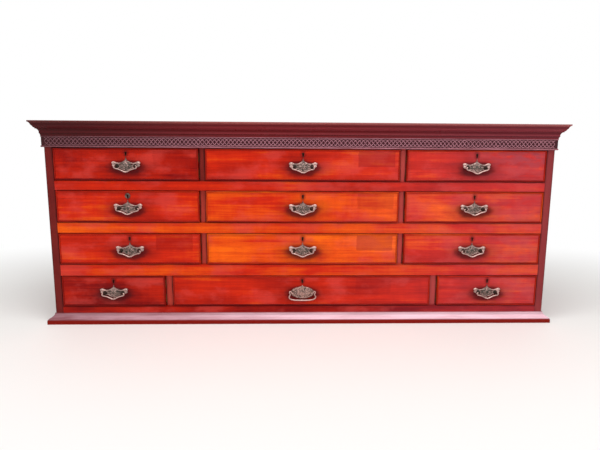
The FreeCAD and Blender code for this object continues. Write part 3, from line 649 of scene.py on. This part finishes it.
def shaped(solid, ease, front_round=0.0):
    """A solid as a mesh of whole faces, its outer edges eased or, if asked, its front ones rounded."""
    flat, sharp, least_rounded = math.radians(1.5), math.radians(35), 20 * MM
    mesh = bmesh.new()
    vertices = {place: mesh.verts.new(place) for corners in solid for place in corners}
    for corners in solid:
        mesh.faces.new([vertices[place] for place in corners])
    bmesh.ops.dissolve_limit(mesh, angle_limit=flat, verts=mesh.verts, edges=mesh.edges)
    bmesh.ops.recalc_face_normals(mesh, faces=mesh.faces)
    edges = [edge for edge in mesh.edges if edge.is_convex and edge.calc_face_angle(0) > sharp]
    if front_round:
        front = min(vertex.co.y for vertex in mesh.verts)
        edges = [edge for edge in edges if edge.calc_length() > least_rounded
                 and all(vertex.co.y - front < 0.01 * MM for vertex in edge.verts)]
    bmesh.ops.bevel(mesh, geom=edges, offset=front_round or ease, segments=4 if front_round else 2,
                    profile=0.5, affect="EDGES", clamp_overlap=True)
    return mesh


class Joinery:
    """Gathers the boards of one piece into one mesh, each with its own grain and tone."""

    def __init__(self, name):
        self.name = name
        self.mesh = bmesh.new()
        layers = self.mesh.verts.layers
        self.marks = {kind: layers.float_vector.new(kind) for kind in VECTOR_MARKS}
        self.marks.update({kind: layers.float.new(kind) for kind in NUMBER_MARKS})
        self.materials = []

    def add(self, board, material, handle=None, ghost=NO_GHOST, tone=None):
        """Takes over a board, with its relief if it is carved. Its grain runs along its longest side."""
        if material not in self.materials:
            self.materials.append(material)
        chance = Random(f"{self.name} {len(self.mesh.verts)}")
        places = [vertex.co for vertex in board.verts]
        low, high = (Vector([pick(p[axis] for p in places) for axis in range(3)]) for pick in (min, max))
        sides, middle = high - low, (low + high) / 2
        order = sorted(range(3), key=lambda axis: -sides[axis])
        shift = Vector([chance.uniform(0, 9) for _ in range(3)])
        board_tone = chance.uniform(0.3, 0.7) if tone is None else tone
        carved = board.verts.layers.float.get("relief")
        copies = {}
        for vertex in board.verts:
            copy = copies[vertex] = self.mesh.verts.new(vertex.co)
            marks = {
                "grain": Vector([vertex.co[axis] for axis in order]) + shift,
                "from_handle": vertex.co - handle if handle else FAR_AWAY,
                "from_middle": vertex.co - middle,
                "half_sizes": sides / 2,
                "ghost": Vector((*ghost, 0.0)),
                "tone": board_tone,
                "relief": 0.0 if carved is None else vertex[carved],
            }
            for kind, value in marks.items():
                copy[self.marks[kind]] = value
        for face in board.faces:
            copy = self.mesh.faces.new([copies[vertex] for vertex in face.verts])
            copy.material_index = self.materials.index(material)
            copy.smooth = True
        board.free()

    def place(self, body, slot, replaced):
        """Makes the piece, sets it on its body and takes the place of the node it finishes."""
        data = bpy.data.meshes.new(self.name)
        self.mesh.to_mesh(data)
        self.mesh.free()
        for material in self.materials:
            data.materials.append(material)
        data.set_sharp_from_angle(angle=math.radians(38))
        piece = seat(self.name, data, body, replaced)
        piece.modifiers.new("Even shading", "WEIGHTED_NORMAL").keep_sharp = True


def seat(name, data, body, replaced=None, place=(0, 0, 0)):
    """A piece of this mesh at a place on a body, which stands for the replaced node if one is named."""
    piece = bpy.data.objects.new(name, data)
    piece.location = place
    bpy.context.scene.collection.objects.link(piece)
    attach(piece, body)
    if replaced:
        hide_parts(replaced)
    return piece


def dress_node(node, material, body, slot, tones=()):
    """Finishes every solid of a node in one material; tones go from the lowest solid up."""
    ease = bpy.context.scene.type_case_wood.eased_edge
    joinery = Joinery(f"finished_{node}")
    for index, solid in enumerate(sorted(solids_of(node), key=lambda solid: lowest(solid, 2))):
        tone = tones[index] if index < len(tones) else None
        joinery.add(shaped(solid, ease), finish(material), tone=tone)
    joinery.place(body, slot, node)


def finish(name):
    return bpy.data.materials[name]


def pivot_of(drawer):
    """The middle of the line that a drawer's bail turns about."""
    return Vector(JOINTS[f"bail_{drawer}_hinge"]["pos_m"])


# -------------------- curves for the brass


def flipped(path):
    return [(-x, z, *rest) for x, z, *rest in path]


def mirrored_loop(half):
    """A closed outline from its right half, which runs from the top middle to the bottom middle."""
    return half + flipped(half[-2:0:-1])


def around(count, start=0.0):
    """This many angles, evenly round a circle."""
    return [math.tau * (step + start) / count for step in range(count)]


def cut_shape(outlines, thickness, bevel):
    """Sheet metal as a mesh in its own XZ plane: the first outline is its edge, the rest are holes.

    The back lies on y = 0.
    """
    return curve_mesh(outlines, True, -thickness / 2, dimensions="2D", fill_mode="BOTH",
                      extrude=thickness / 2 - bevel, bevel_depth=bevel, bevel_resolution=2,
                      offset=-bevel, resolution_u=5)


def bent_bar(path, radius, closed=False, resolution=3):
    """A round bar bent along a path of (x, z, share of the radius)."""
    return curve_mesh([path], closed, 0.0, dimensions="3D", bevel_depth=radius,
                      bevel_resolution=resolution, resolution_u=6, use_fill_caps=True)


def curve_mesh(outlines, closed, shift, **settings):
    """A curve with these settings, set upright and shifted along y, as a bmesh.

    The points of its outlines are in millimetres, and one that ends in "corner" is sharp.
    """
    curve = bpy.data.curves.new("outline", "CURVE")
    for name, value in settings.items():
        setattr(curve, name, value)
    for points in outlines:
        spline = curve.splines.new("BEZIER")
        spline.bezier_points.add(len(points) - 1)
        spline.use_cyclic_u = closed
        for knot, (x, z, *rest) in zip(spline.bezier_points, points):
            knot.co = mm(x, z, 0)
            kind = "VECTOR" if "corner" in rest else "AUTO"
            knot.handle_left_type = knot.handle_right_type = kind
            knot.radius = next((value for value in rest if value != "corner"), 1.0)
    holder = bpy.data.objects.new(curve.name, curve)
    bpy.context.scene.collection.objects.link(holder)
    depsgraph = bpy.context.evaluated_depsgraph_get()
    data = bpy.data.meshes.new_from_object(holder.evaluated_get(depsgraph))
    mesh = bmesh.new()
    mesh.from_mesh(data)
    mesh.transform(Matrix.Translation((0, shift, 0)) @ Matrix.Rotation(math.pi / 2, 4, "X"))
    bpy.data.objects.remove(holder)
    bpy.data.curves.remove(curve)
    bpy.data.meshes.remove(data)
    bmesh.ops.remove_doubles(mesh, verts=mesh.verts, dist=0.01 * MM)
    return mesh


def turned(profile, steps=24):
    """A turned piece about the y axis from (radius, y) in millimetres."""
    mesh = bmesh.new()
    turns = [math.tau * step / steps for step in range(steps)]
    lines = [[mesh.verts.new(mm(radius * math.cos(turn), y, -radius * math.sin(turn)))
              for radius, y in profile] for turn in turns]
    for line, following in zip(lines, lines[1:] + lines[:1]):
        for corners in zip(line, line[1:], following[1:], following):
            mesh.faces.new(corners)
    bmesh.ops.remove_doubles(mesh, verts=mesh.verts, dist=0.005 * MM)
    bmesh.ops.recalc_face_normals(mesh, faces=mesh.faces)
    return mesh


def dome(radius_x, radius_z, height, steps=10):
    """A low dome on y = 0, with its crown towards the front, from sizes in millimetres."""
    rings = [(math.cos(a), -math.sin(a)) for a in (0, 0.35, 0.75, 1.15, math.pi / 2)]
    mesh = turned(rings, steps)
    mesh.transform(Matrix.Diagonal((radius_x, height, radius_z, 1)))
    return mesh


class Casting:
    """Gathers metal shapes into one mesh."""

    def __init__(self, name, front=0.0):
        self.name = name
        self.front = front
        self.mesh = bmesh.new()

    def add(self, shape, *spots):
        """Joins copies of a shape at these (x, z) on the front, in millimetres, and frees it.

        With no spots it joins the shape where it is.
        """
        data = bpy.data.meshes.new(self.name)
        shape.to_mesh(data)
        shape.free()
        for place in [(x * MM, self.front, z * MM) for x, z in spots] or [(0, 0, 0)]:
            data.transform(Matrix.Translation(place))
            self.mesh.from_mesh(data)
            data.transform(Matrix.Translation([-c for c in place]))
        bpy.data.meshes.remove(data)

    def mesh_data(self, material):
        data = bpy.data.meshes.new(self.name)
        for face in self.mesh.faces:
            face.smooth = True
        self.mesh.to_mesh(data)
        self.mesh.free()
        data.materials.append(finish(material))
        data.set_sharp_from_angle(angle=math.radians(50))
        return data


# -------------------- shapes of the brass

WINGED_OUTLINE = mirrored_loop([
    (0, 18.4, "corner"), (1.0, 16.6), (0.8, 15.0), (1.6, 13.4), (3.6, 11.2, "corner"), (7.5, 8.9),
    (13.0, 6.9), (18.0, 6.9), (22.0, 8.6), (26.0, 9.9), (29.6, 8.6), (30.4, 6.2), (28.2, 4.0, "corner"),
    (29.4, 1.6), (27.0, -1.2), (23.6, -2.4, "corner"), (18.6, -4.8), (14.0, -4.9, "corner"),
    (10.8, -7.2), (6.4, -8.8), (3.0, -9.6, "corner"), (0, -11.4, "corner"),
])
WING_PIERCING = [(9.6, 4.0), (12.2, 4.8), (14.4, 3.8), (12.4, 2.8)]
WING_SCROLL = [(5.8, 7.0, 0.7), (11.5, 6.0, 1.0), (17, 5.6, 1.1), (22.4, 7.6, 1.2), (27.0, 8.4, 1.2),
               (28.0, 6.0, 1.0), (25.8, 4.8, 0.8)]
LOWER_SCROLL = [(26.4, 1.4, 0.8), (22.8, -0.6, 1.1), (17.8, -2.8, 1.1), (12.0, -3.4, 1.0),
                (7.8, -6.2, 1.1), (2.6, -7.8, 0.9)]
OVAL_OUTLINE = mirrored_loop([
    (0, 17.6, "corner"), (1.2, 15.4), (3.6, 13.7, "corner"), (8.6, 12.7), (17.0, 9.9), (23.8, 5.4),
    (26.0, 0), (23.8, -5.4), (17.0, -9.9), (8.0, -12.8), (0, -13.2),
])
# the right halves of the bails, from the tip in the post to the middle
WINGED_BAIL = [(18.6, 0, 0.85), (21.2, 0, 0.85), (23.2, -0.1, 1.1), (24.0, -1.7, 1.15), (22.4, -4.2, 1.1),
               (17.6, -5.8, 0.95), (11.8, -7.7, 0.9), (6.6, -10.2, 1.0), (3.2, -11.8, 1.2),
               (1.6, -12.2, 0.95), (0, -12.4, 1.3)]
SWAN_BAIL = [(20.6, 0, 0.85), (23.0, 0.2, 0.85), (24.6, 1.8, 0.95), (26.4, 4.0, 1.0), (28.2, 3.6, 1.0),
             (28.6, 1.2, 1.0), (27.4, -1.8, 1.0), (27.8, -4.6, 1.0), (29.4, -7.6, 1.05),
             (29.2, -10.6, 1.05), (26.2, -13.4, 1.05), (19.0, -15.4, 1.05), (10.0, -16.1, 1.1),
             (0, -16.3, 1.2)]
# the rings of leaves on the oval plate: (how many, how far out as a share of the plate, half width)
LEAF_RINGS = ((6, 0.24, 2.0), (12, 0.44, 1.8), (18, 0.64, 1.6))


def winged_plate(settings):
    """Backing plate with raised wings: scrolls, pierced eyes, knobs and a leafy boss."""
    casting = Casting("winged_plate", -settings.plate_thickness)
    outlines = [WINGED_OUTLINE, WING_PIERCING, flipped(WING_PIERCING)]
    casting.add(cut_shape(outlines, settings.plate_thickness, 0.3 * MM))
    for scroll in (WING_SCROLL, LOWER_SCROLL):
        for path in (scroll, flipped(scroll)):
            casting.add(bent_bar(path, settings.scroll_radius), (0, 0))
    casting.add(dome(4.6, 5.4, 1.2, 16), (0, 0.6))
    leaves = [(6.2 * math.cos(angle), 0.6 + 6.4 * math.sin(angle)) for angle in around(8)]
    casting.add(dome(1.5, 1.5, 0.9), *leaves)
    casting.add(dome(1.1, 1.6, 0.8), (0, 11.4))
    casting.add(dome(3.4, 2.6, 1.3, 12), (-26.2, 6.6), (26.2, 6.6))
    return casting.mesh_data("plate brass")


def oval_plate(settings):
    """Oval backing plate, all over low leaves inside a double border."""
    half_width, half_height = 26.0, 13.0
    casting = Casting("oval_plate", -settings.plate_thickness)
    casting.add(cut_shape([OVAL_OUTLINE], settings.plate_thickness, 0.4 * MM))
    for inset in (0.93, 0.80):
        border = [(x * inset, z * inset) for x, z, *_ in OVAL_OUTLINE]
        casting.add(bent_bar(border, settings.border_radius, closed=True), (0, 0))
    for ring, (count, reach, size) in enumerate(LEAF_RINGS):
        spots = [(half_width * reach * math.cos(angle), half_height * reach * math.sin(angle))
                 for angle in around(count, ring / 2)]
        casting.add(dome(size, size * 0.75, 0.9), *spots)
    casting.add(dome(3.2, 2.6, 1.2, 16), (0, 0))
    return casting.mesh_data("warm brass")


def posts(spacing, settings, material, drawer):
    """The two posts of a handle about its pivot line: foot, neck, ball, and shank through the nut."""
    casting = Casting("posts")
    plate = (settings.pivot_standoff - settings.plate_thickness) / MM
    end = (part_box(f"fittings_{drawer}")[1].y - pivot_of(drawer).y) / MM
    profile = [(0, -3.4), (0.9, -3.3), (1.3, -2.8), (1.9, -2.3), (2.3, -1.2), (2.5, 0), (2.3, 1.3),
               (2.1, 2.3), (1.9, 3.2), (2.7, plate - 1.2), (4.3, plate - 0.9), (4.5, plate - 0.1),
               (4.2, plate + 0.02), (1.7, plate + 0.05), (1.7, end), (0, end)]
    casting.add(turned(profile), (spacing / 2 / MM, 0), (-spacing / 2 / MM, 0))
    return casting.mesh_data(material)


def bail(name, half, settings):
    casting = Casting(name)
    casting.add(bent_bar(half + flipped(half[-2::-1]), settings.bail_radius, resolution=4))
    return casting.mesh_data("handled brass")


def keyhole_outline(grow):
    """Round eye over a straight slot, in millimetres about the eye's middle."""
    eye, slot, drop = 2.1 + grow, 1.2 + grow, 6.0 + grow
    start = math.asin(slot / eye)
    arc = [(eye * math.sin(a), -eye * math.cos(a))
           for a in (start + (math.tau - 2 * start) * step / 14 for step in range(15))]
    return [(x, z, "corner") for x, z in arc + [(-slot, -drop), (slot, -drop)]]


def keyhole_lining(settings):
    casting = Casting("keyhole_lining")
    outlines = [keyhole_outline(0.4), keyhole_outline(-0.12)]
    casting.add(cut_shape(outlines, settings.lining_depth, 0.1 * MM))
    return casting.mesh_data("dull brass")


def round_escutcheon(settings):
    casting = Casting("round_escutcheon")
    radius, drop = settings.disc_radius / MM, settings.disc_drop / MM
    circle = [(radius * math.cos(angle), radius * math.sin(angle) - drop) for angle in around(12)]
    casting.add(cut_shape([circle, keyhole_outline(0.2)], settings.disc_thickness, 0.25 * MM))
    return casting.mesh_data("escutcheon brass")


# -------------------- carving


def strip_through(rows, section):
    """A strip through rows of places, one for each (side, out) of its section.

    Its relief is 0 where the section is on the ground and 1 where it is furthest out.
    """
    mesh = bmesh.new()
    relief = mesh.verts.layers.float.new("relief")
    most = max(out for _, out in section)
    made = []
    for row in rows:
        made.append([mesh.verts.new(place) for place in row])
        for vertex, (_, out) in zip(made[-1], section):
            vertex[relief] = out / most
    for first, second in zip(made, made[1:]):
        for a, b, c, d in zip(first, first[1:], second[1:], second):
            mesh.faces.new((a, d, c, b))
    return mesh


def mitred_strip(section, half_width, face, back):
    """A strip with this section of (height, out) along the front and both returns."""
    rows = [[(side * (half_width + out), back if at_back else face - out, height)
             for height, out in section]
            for side, at_back in ((-1, True), (-1, False), (1, False), (1, True))]
    return strip_through(rows, section)


def half_round(width, height, steps=6):
    """A section of (side, out)."""
    angles = [math.pi * step / steps for step in range(steps + 1)]
    return [(-math.cos(a) * width / 2, math.sin(a) * height) for a in angles]


def carved_run(run, settings):
    """A plait of strands along a run, each over and under the others in turn."""
    crests = round((run - 2 * settings.end_margin) / settings.pitch)
    steps = crests * STEPS_PER_CREST
    section = half_round(settings.strand_width, settings.strand_height, 4)
    strands = []
    for strand in range(STRANDS):
        rows = []
        for index in range(steps + 1):
            along = (index / steps - 0.5) * crests * settings.pitch
            phase = math.tau * (index / STEPS_PER_CREST + strand) / STRANDS
            slope = settings.swing * math.cos(phase) * math.tau / (STRANDS * settings.pitch)
            across = Vector((-slope, 0, 1)).normalized()
            lift = 0.8 + 0.25 * math.cos(3 * phase)
            middle = Vector((along, 0, settings.middle_height + settings.swing * math.sin(phase)))
            rows.append([middle + across * side + Vector((0, -out * lift, 0)) for side, out in section])
        strands.append(strip_through(rows, section))
    return strands


# -------------------- operators


class TYPECASE_OT_mix_finishes(bpy.types.Operator):
    """Make the woods and metals of the chest."""

    bl_idname = "typecase.mix_finishes"
    bl_label = "Mix the finishes"

    def execute(self, context):
        woods = context.scene.type_case_wood
        metals = context.scene.type_case_brass
        front = woods.front_dark, woods.front_middle, woods.front_light
        haze = woods.front_haze
        wood("drawer mahogany", *front, haze, unshaded_side=1, extra=handle_grime_and_shadow)
        wood("bead mahogany", *front)
        # rails, ends and dividers get a painted reflection of light towards the right end
        wood("rail mahogany", *front, haze, spread=2.0, grime=0.4, unshaded_side=-1,
             extra=partial(sheen_to_the_right, most=FRONT_SHEEN))
        wood("case mahogany", *streaks("case"), spread=1.4, roughness=0.4,
             extra=partial(sheen_to_the_right, most=END_SHEEN))
        # the dividers' dark edges are in part painted shade where they stand back between the drawers
        wood("upright mahogany", *streaks("upright"), spread=1.4, roughness=0.4, grime=0.6,
             extra=partial(sheen_to_the_right, most=UPRIGHT_SHEEN))
        wood("moulding mahogany", *streaks("moulding"), spread=1.4, roughness=0.3, gloss=0.14, grime=0,
             extra=shade_and_highlight_bands)
        wood("plinth mahogany", *streaks("moulding"), spread=1.4, roughness=0.3, gloss=0.1, grime=0,
             extra=sheen_on_slope)
        wood("drawer lining", *streaks("lining"), roughness=0.6, grime=0.25)
        carved_wood()
        body, recess, rubbed, dull = metals.body, metals.recess, metals.rubbed, metals.dull
        brass("plate brass", body, recess, rubbed, extra=plate_wear_and_shading)
        brass("handled brass", halfway(body, rubbed), body, rubbed, roughness=0.3)
        brass("warm brass", metals.warm, halfway(recess, dull), rubbed, roughness=0.32, extra=leaf_speckle)
        brass("dull brass", dull, recess, dull, roughness=0.5)
        brass("escutcheon brass", halfway(dull, body), dull, body, roughness=0.45)
        brass("lock steel", metals.steel, recess, body, roughness=0.45)
        return {"FINISHED"}


def streaks(kind):
    """The dark, middle and light colours of a wood that has no middle colour of its own."""
    woods = bpy.context.scene.type_case_wood
    dark, light = getattr(woods, f"{kind}_dark"), getattr(woods, f"{kind}_light")
    return dark, halfway(dark, light), light


class TYPECASE_OT_dress_carcase(bpy.types.Operator):
    """Ease and polish the ends, rails, dividers, top, back and inner boards."""

    bl_idname = "typecase.dress_carcase"
    bl_label = "Dress the carcase"

    def execute(self, context):
        for node, (material, tones) in OUTER_PARTS.items():
            dress_node(node, material, CARCASE, "carcase_wood", tones)
        for node in INNER_PARTS:
            dress_node(node, "drawer lining", CARCASE, "secondary_wood")
        return {"FINISHED"}


class TYPECASE_OT_carve_frieze(bpy.types.Operator):
    """Carve the frieze with interlaced strands on its front and both returns."""

    bl_idname = "typecase.carve_frieze"
    bl_label = "Carve the frieze"

    def execute(self, context):
        settings = context.scene.type_case_carving
        ease = context.scene.type_case_wood.eased_edge
        carved = finish("frieze carving")
        low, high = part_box("frieze")
        joinery = Joinery("carved_frieze")
        solids = solids_of("frieze")
        for solid in solids:
            joinery.add(shaped(solid, ease), carved, tone=0.5)
        face = face_line(min(solids, key=lambda solid: lowest(solid, 1)))
        width = high.x - low.x - 2 * (face - low.y)
        depth = high.y - face
        halfway_back = (face + high.y) / 2
        for run, x, y, angle in (
            (width, 0, face, 0),
            (depth, -width / 2, halfway_back, -math.pi / 2),
            (depth, width / 2, halfway_back, math.pi / 2),
        ):
            turn = Matrix.Translation((x, y, low.z)) @ Matrix.Rotation(angle, 4, "Z")
            for strand in carved_run(run, settings):
                strand.transform(turn)
                joinery.add(strand, carved, tone=0.5)
        rule = [(settings.rule_height + side, out)
                for side, out in half_round(2 * settings.rule_radius, settings.rule_radius)]
        for section, material in ((rule, carved), (NECK, finish("moulding mahogany"))):
            moulding = mitred_strip(section, width / 2, face, high.y)
            moulding.transform(Matrix.Translation((0, 0, low.z)))
            joinery.add(moulding, material, tone=0.5)
        joinery.place(CARCASE, "carcase_wood", "frieze")
        return {"FINISHED"}


def face_line(solid):
    """The y of the frieze's plain face, which its foot bead stands in front of."""
    top = max(place[2] for corners in solid for place in corners)
    return min(place[1] for corners in solid for place in corners if place[2] > top - MM)


class TYPECASE_OT_dress_drawers(bpy.types.Operator):
    """Ease and polish the drawers, with rounded cock beads and plain linings."""

    bl_idname = "typecase.dress_drawers"
    bl_label = "Dress the drawers"

    def execute(self, context):
        settings = context.scene.type_case_wood
        for drawer in DRAWERS:
            node = f"drawer_{drawer}"
            solids = solids_of(node)
            if len(solids) != len(DRAWER_SOLIDS):
                raise RuntimeError(f"{node} has {len(solids)} solids")
            pivot, ghost, tone = pivot_of(drawer), LABEL_GHOSTS.get(drawer, NO_GHOST), FRONT_TONES[drawer]
            inner = (settings.eased_edge, 0.0, "drawer lining", None)
            outer = {
                "front": (settings.eased_edge / 2, 0.0, "drawer mahogany", tone),
                "foot_bead": (0.0, settings.bead_round, "bead mahogany", tone - FOOT_BEAD_SHADE),
                "bead": (0.0, settings.bead_round, "bead mahogany", tone),
            }
            joinery = Joinery(f"finished_{node}")
            for part, solid in zip(DRAWER_SOLIDS, solids):
                ease, rounding, material, board_tone = outer.get(part, inner)
                joinery.add(shaped(solid, ease, rounding), finish(material), pivot, ghost, board_tone)
            joinery.place(node, "drawer_wood", node)
        return {"FINISHED"}


class TYPECASE_OT_cast_handles(bpy.types.Operator):
    """Cast the backing plates and posts, and set the nuts and lock cases behind the fronts."""

    bl_idname = "typecase.cast_handles"
    bl_label = "Cast the handles"

    def execute(self, context):
        settings = context.scene.type_case_brass
        ease = context.scene.type_case_wood.eased_edge
        winged = (winged_plate(settings),
                  posts(settings.post_spacing, settings, "dull brass", DRAWERS[0]))
        oval_one = (oval_plate(settings),
                    posts(settings.oval_post_spacing, settings, "warm brass", OVAL_HANDLED))
        for drawer in DRAWERS:
            node, body = f"fittings_{drawer}", f"drawer_{drawer}"
            fixings = Joinery(f"fixings_{drawer}")
            for part, solid in zip(FITTING_SOLIDS, solids_of(node)):
                if part in ("nut", "lock_case"):
                    fixings.add(shaped(solid, ease), finish("lock steel"))
            fixings.place(body, "aged_brass", node)
            plate, two_posts = oval_one if drawer == OVAL_HANDLED else winged
            pivot = pivot_of(drawer)
            face = pivot + Vector((0, settings.pivot_standoff, 0))
            seat(f"plate_{drawer}", plate, body, place=face)
            seat(f"posts_{drawer}", two_posts, body, place=pivot)
        return {"FINISHED"}


class TYPECASE_OT_bend_bails(bpy.types.Operator):
    """Bend the bails and hang them on their posts."""

    bl_idname = "typecase.bend_bails"
    bl_label = "Bend the bails"

    def execute(self, context):
        settings = context.scene.type_case_brass
        winged = bail("winged_bail", WINGED_BAIL, settings)
        swan = bail("swan_bail", SWAN_BAIL, settings)
        for drawer in DRAWERS:
            node = f"bail_{drawer}"
            shape = swan if drawer == OVAL_HANDLED else winged
            seat(f"bent_{node}", shape, node, replaced=node, place=pivot_of(drawer))
        return {"FINISHED"}


class TYPECASE_OT_fit_locks(bpy.types.Operator):
    """Line the keyholes with brass and finish the bolts of the locks."""

    bl_idname = "typecase.fit_locks"
    bl_label = "Fit the locks"

    def execute(self, context):
        settings = context.scene.type_case_brass
        lining = keyhole_lining(settings)
        disc = round_escutcheon(settings)
        into_the_front = Vector((0, settings.lining_depth - settings.lining_stands_out, 0))
        for drawer in DRAWERS:
            body, bolt = f"drawer_{drawer}", f"lock_bolt_{drawer}"
            eye = pivot_of(drawer) + Vector((0, settings.pivot_standoff, settings.keyhole_height))
            seat(f"keyhole_lining_{drawer}", lining, body, place=eye + into_the_front)
            if drawer == ROUND_ESCUTCHEON:
                seat(f"escutcheon_{drawer}", disc, body, place=eye)
            dress_node(bolt, "lock steel", bolt, "aged_brass")
        return {"FINISHED"}


class TYPECASE_OT_set_stage(bpy.types.Operator):
    """Set the camera, lamps, pale floor and white background."""

    bl_idname = "typecase.set_stage"
    bl_label = "Set the stage"

    def execute(self, context):
        settings = context.scene.type_case_stage
        scene = context.scene
        scene.view_settings.view_transform = "Standard"
        camera = bpy.data.objects.new("camera", bpy.data.cameras.new("camera"))
        camera.data.lens = settings.lens
        camera.location = CAMERA_PLACE
        camera.rotation_euler = [math.radians(angle) for angle in CAMERA_TURN]
        scene.collection.objects.link(camera)
        scene.camera = camera
        for name, (place, size) in LAMPS.items():
            add_lamp(f"{name} softbox", place, size, getattr(settings, f"{name}_power"))

        mesh = bmesh.new()
        bmesh.ops.create_grid(mesh, x_segments=4, y_segments=4, size=8)
        data = bpy.data.meshes.new("floor")
        mesh.to_mesh(data)
        mesh.free()
        floor = bpy.data.objects.new("floor", data)
        scene.collection.objects.link(floor)
        data.materials.append(floor_finish(settings.floor))
        scene.world = white_world(settings.room_light)
        return {"FINISHED"}


def add_lamp(name, place, size, power):
    lamp = bpy.data.lights.new(name, "AREA")
    lamp.shape = "RECTANGLE"
    lamp.size, lamp.size_y = size
    lamp.energy = power
    holder = bpy.data.objects.new(name, lamp)
    holder.location = place
    holder.rotation_euler = (LAMP_TARGET - Vector(place)).to_track_quat("-Z", "Y").to_euler()
    bpy.context.scene.collection.objects.link(holder)


def floor_finish(shade):
    """Pale floor that keeps the chest's shadow, and is seen as white far away from the chest."""
    paint = Paint("pale floor")
    place = paint.node("ShaderNodeTexCoord", output="Object")
    cloud = paint.noise(place, 3)
    plain = paint.node("ShaderNodeBsdfPrincipled", None, {
        "Base Color": paint.mix(cloud, shade, dimmed(shade, 0.97)),
        "Roughness": 0.6 + cloud * 0.1,
    })
    squeezed = paint.vector_math("MULTIPLY", place, (0.75, 1.25, 0))
    distance = paint.vector_math("LENGTH", squeezed, output="Value")
    white = paint.node("ShaderNodeEmission", None, {"Color": (1, 1, 1, 1), "Strength": 1.0})
    return paint.ended(paint.node("ShaderNodeMixShader", None,
                                  {0: distance.between(0.5, 1.25) * paint.seen(), 1: plain, 2: white}))


def white_world(strength):
    """White where the camera, gloss or glass looks; a soft even light everywhere else."""
    paint = Paint("studio", world=True)
    lit, white = (paint.node("ShaderNodeBackground", None, {"Color": (1, 1, 1, 1), "Strength": power})
                  for power in (strength, 1.0))
    return paint.ended(paint.node("ShaderNodeMixShader", None, {0: paint.seen(), 1: lit, 2: white}))


class TYPECASE_PT_panel(bpy.types.Panel):
    """Lists the steps that finish the chest."""

    bl_idname = "TYPECASE_PT_panel"
    bl_label = "Type case cabinet"
    bl_space_type = "VIEW_3D"
    bl_region_type = "UI"
    bl_category = "Type case"

    def draw(self, context):
        for step in STEPS:
            self.layout.operator(step.bl_idname)
        for name in SETTINGS:
            box = self.layout.box()
            group = getattr(context.scene, name)
            for prop in group.bl_rna.properties:
                if prop.identifier not in ("rna_type", "name"):
                    box.prop(group, prop.identifier)


SETTINGS = {
    "type_case_wood": WoodSettings,
    "type_case_carving": CarvingSettings,
    "type_case_brass": BrassSettings,
    "type_case_stage": StageSettings,
}
STEPS = (
    TYPECASE_OT_mix_finishes,
    TYPECASE_OT_dress_carcase,
    TYPECASE_OT_carve_frieze,
    TYPECASE_OT_dress_drawers,
    TYPECASE_OT_cast_handles,
    TYPECASE_OT_bend_bails,
    TYPECASE_OT_fit_locks,
    TYPECASE_OT_set_stage,
)


def register():
    for name, group in SETTINGS.items():
        bpy.utils.register_class(group)
        setattr(bpy.types.Scene, name, PointerProperty(type=group))
    for step in STEPS:
        bpy.utils.register_class(step)
    bpy.utils.register_class(TYPECASE_PT_panel)


def unregister():
    bpy.utils.unregister_class(TYPECASE_PT_panel)
    for step in reversed(STEPS):
        bpy.utils.unregister_class(step)
    for name, group in SETTINGS.items():
        delattr(bpy.types.Scene, name)
        bpy.utils.unregister_class(group)


def main():
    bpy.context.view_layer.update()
    register()
    for step in STEPS:
        space, name = step.bl_idname.split(".")
        getattr(getattr(bpy.ops, space), name)()


if __name__ == "__main__":
    main()
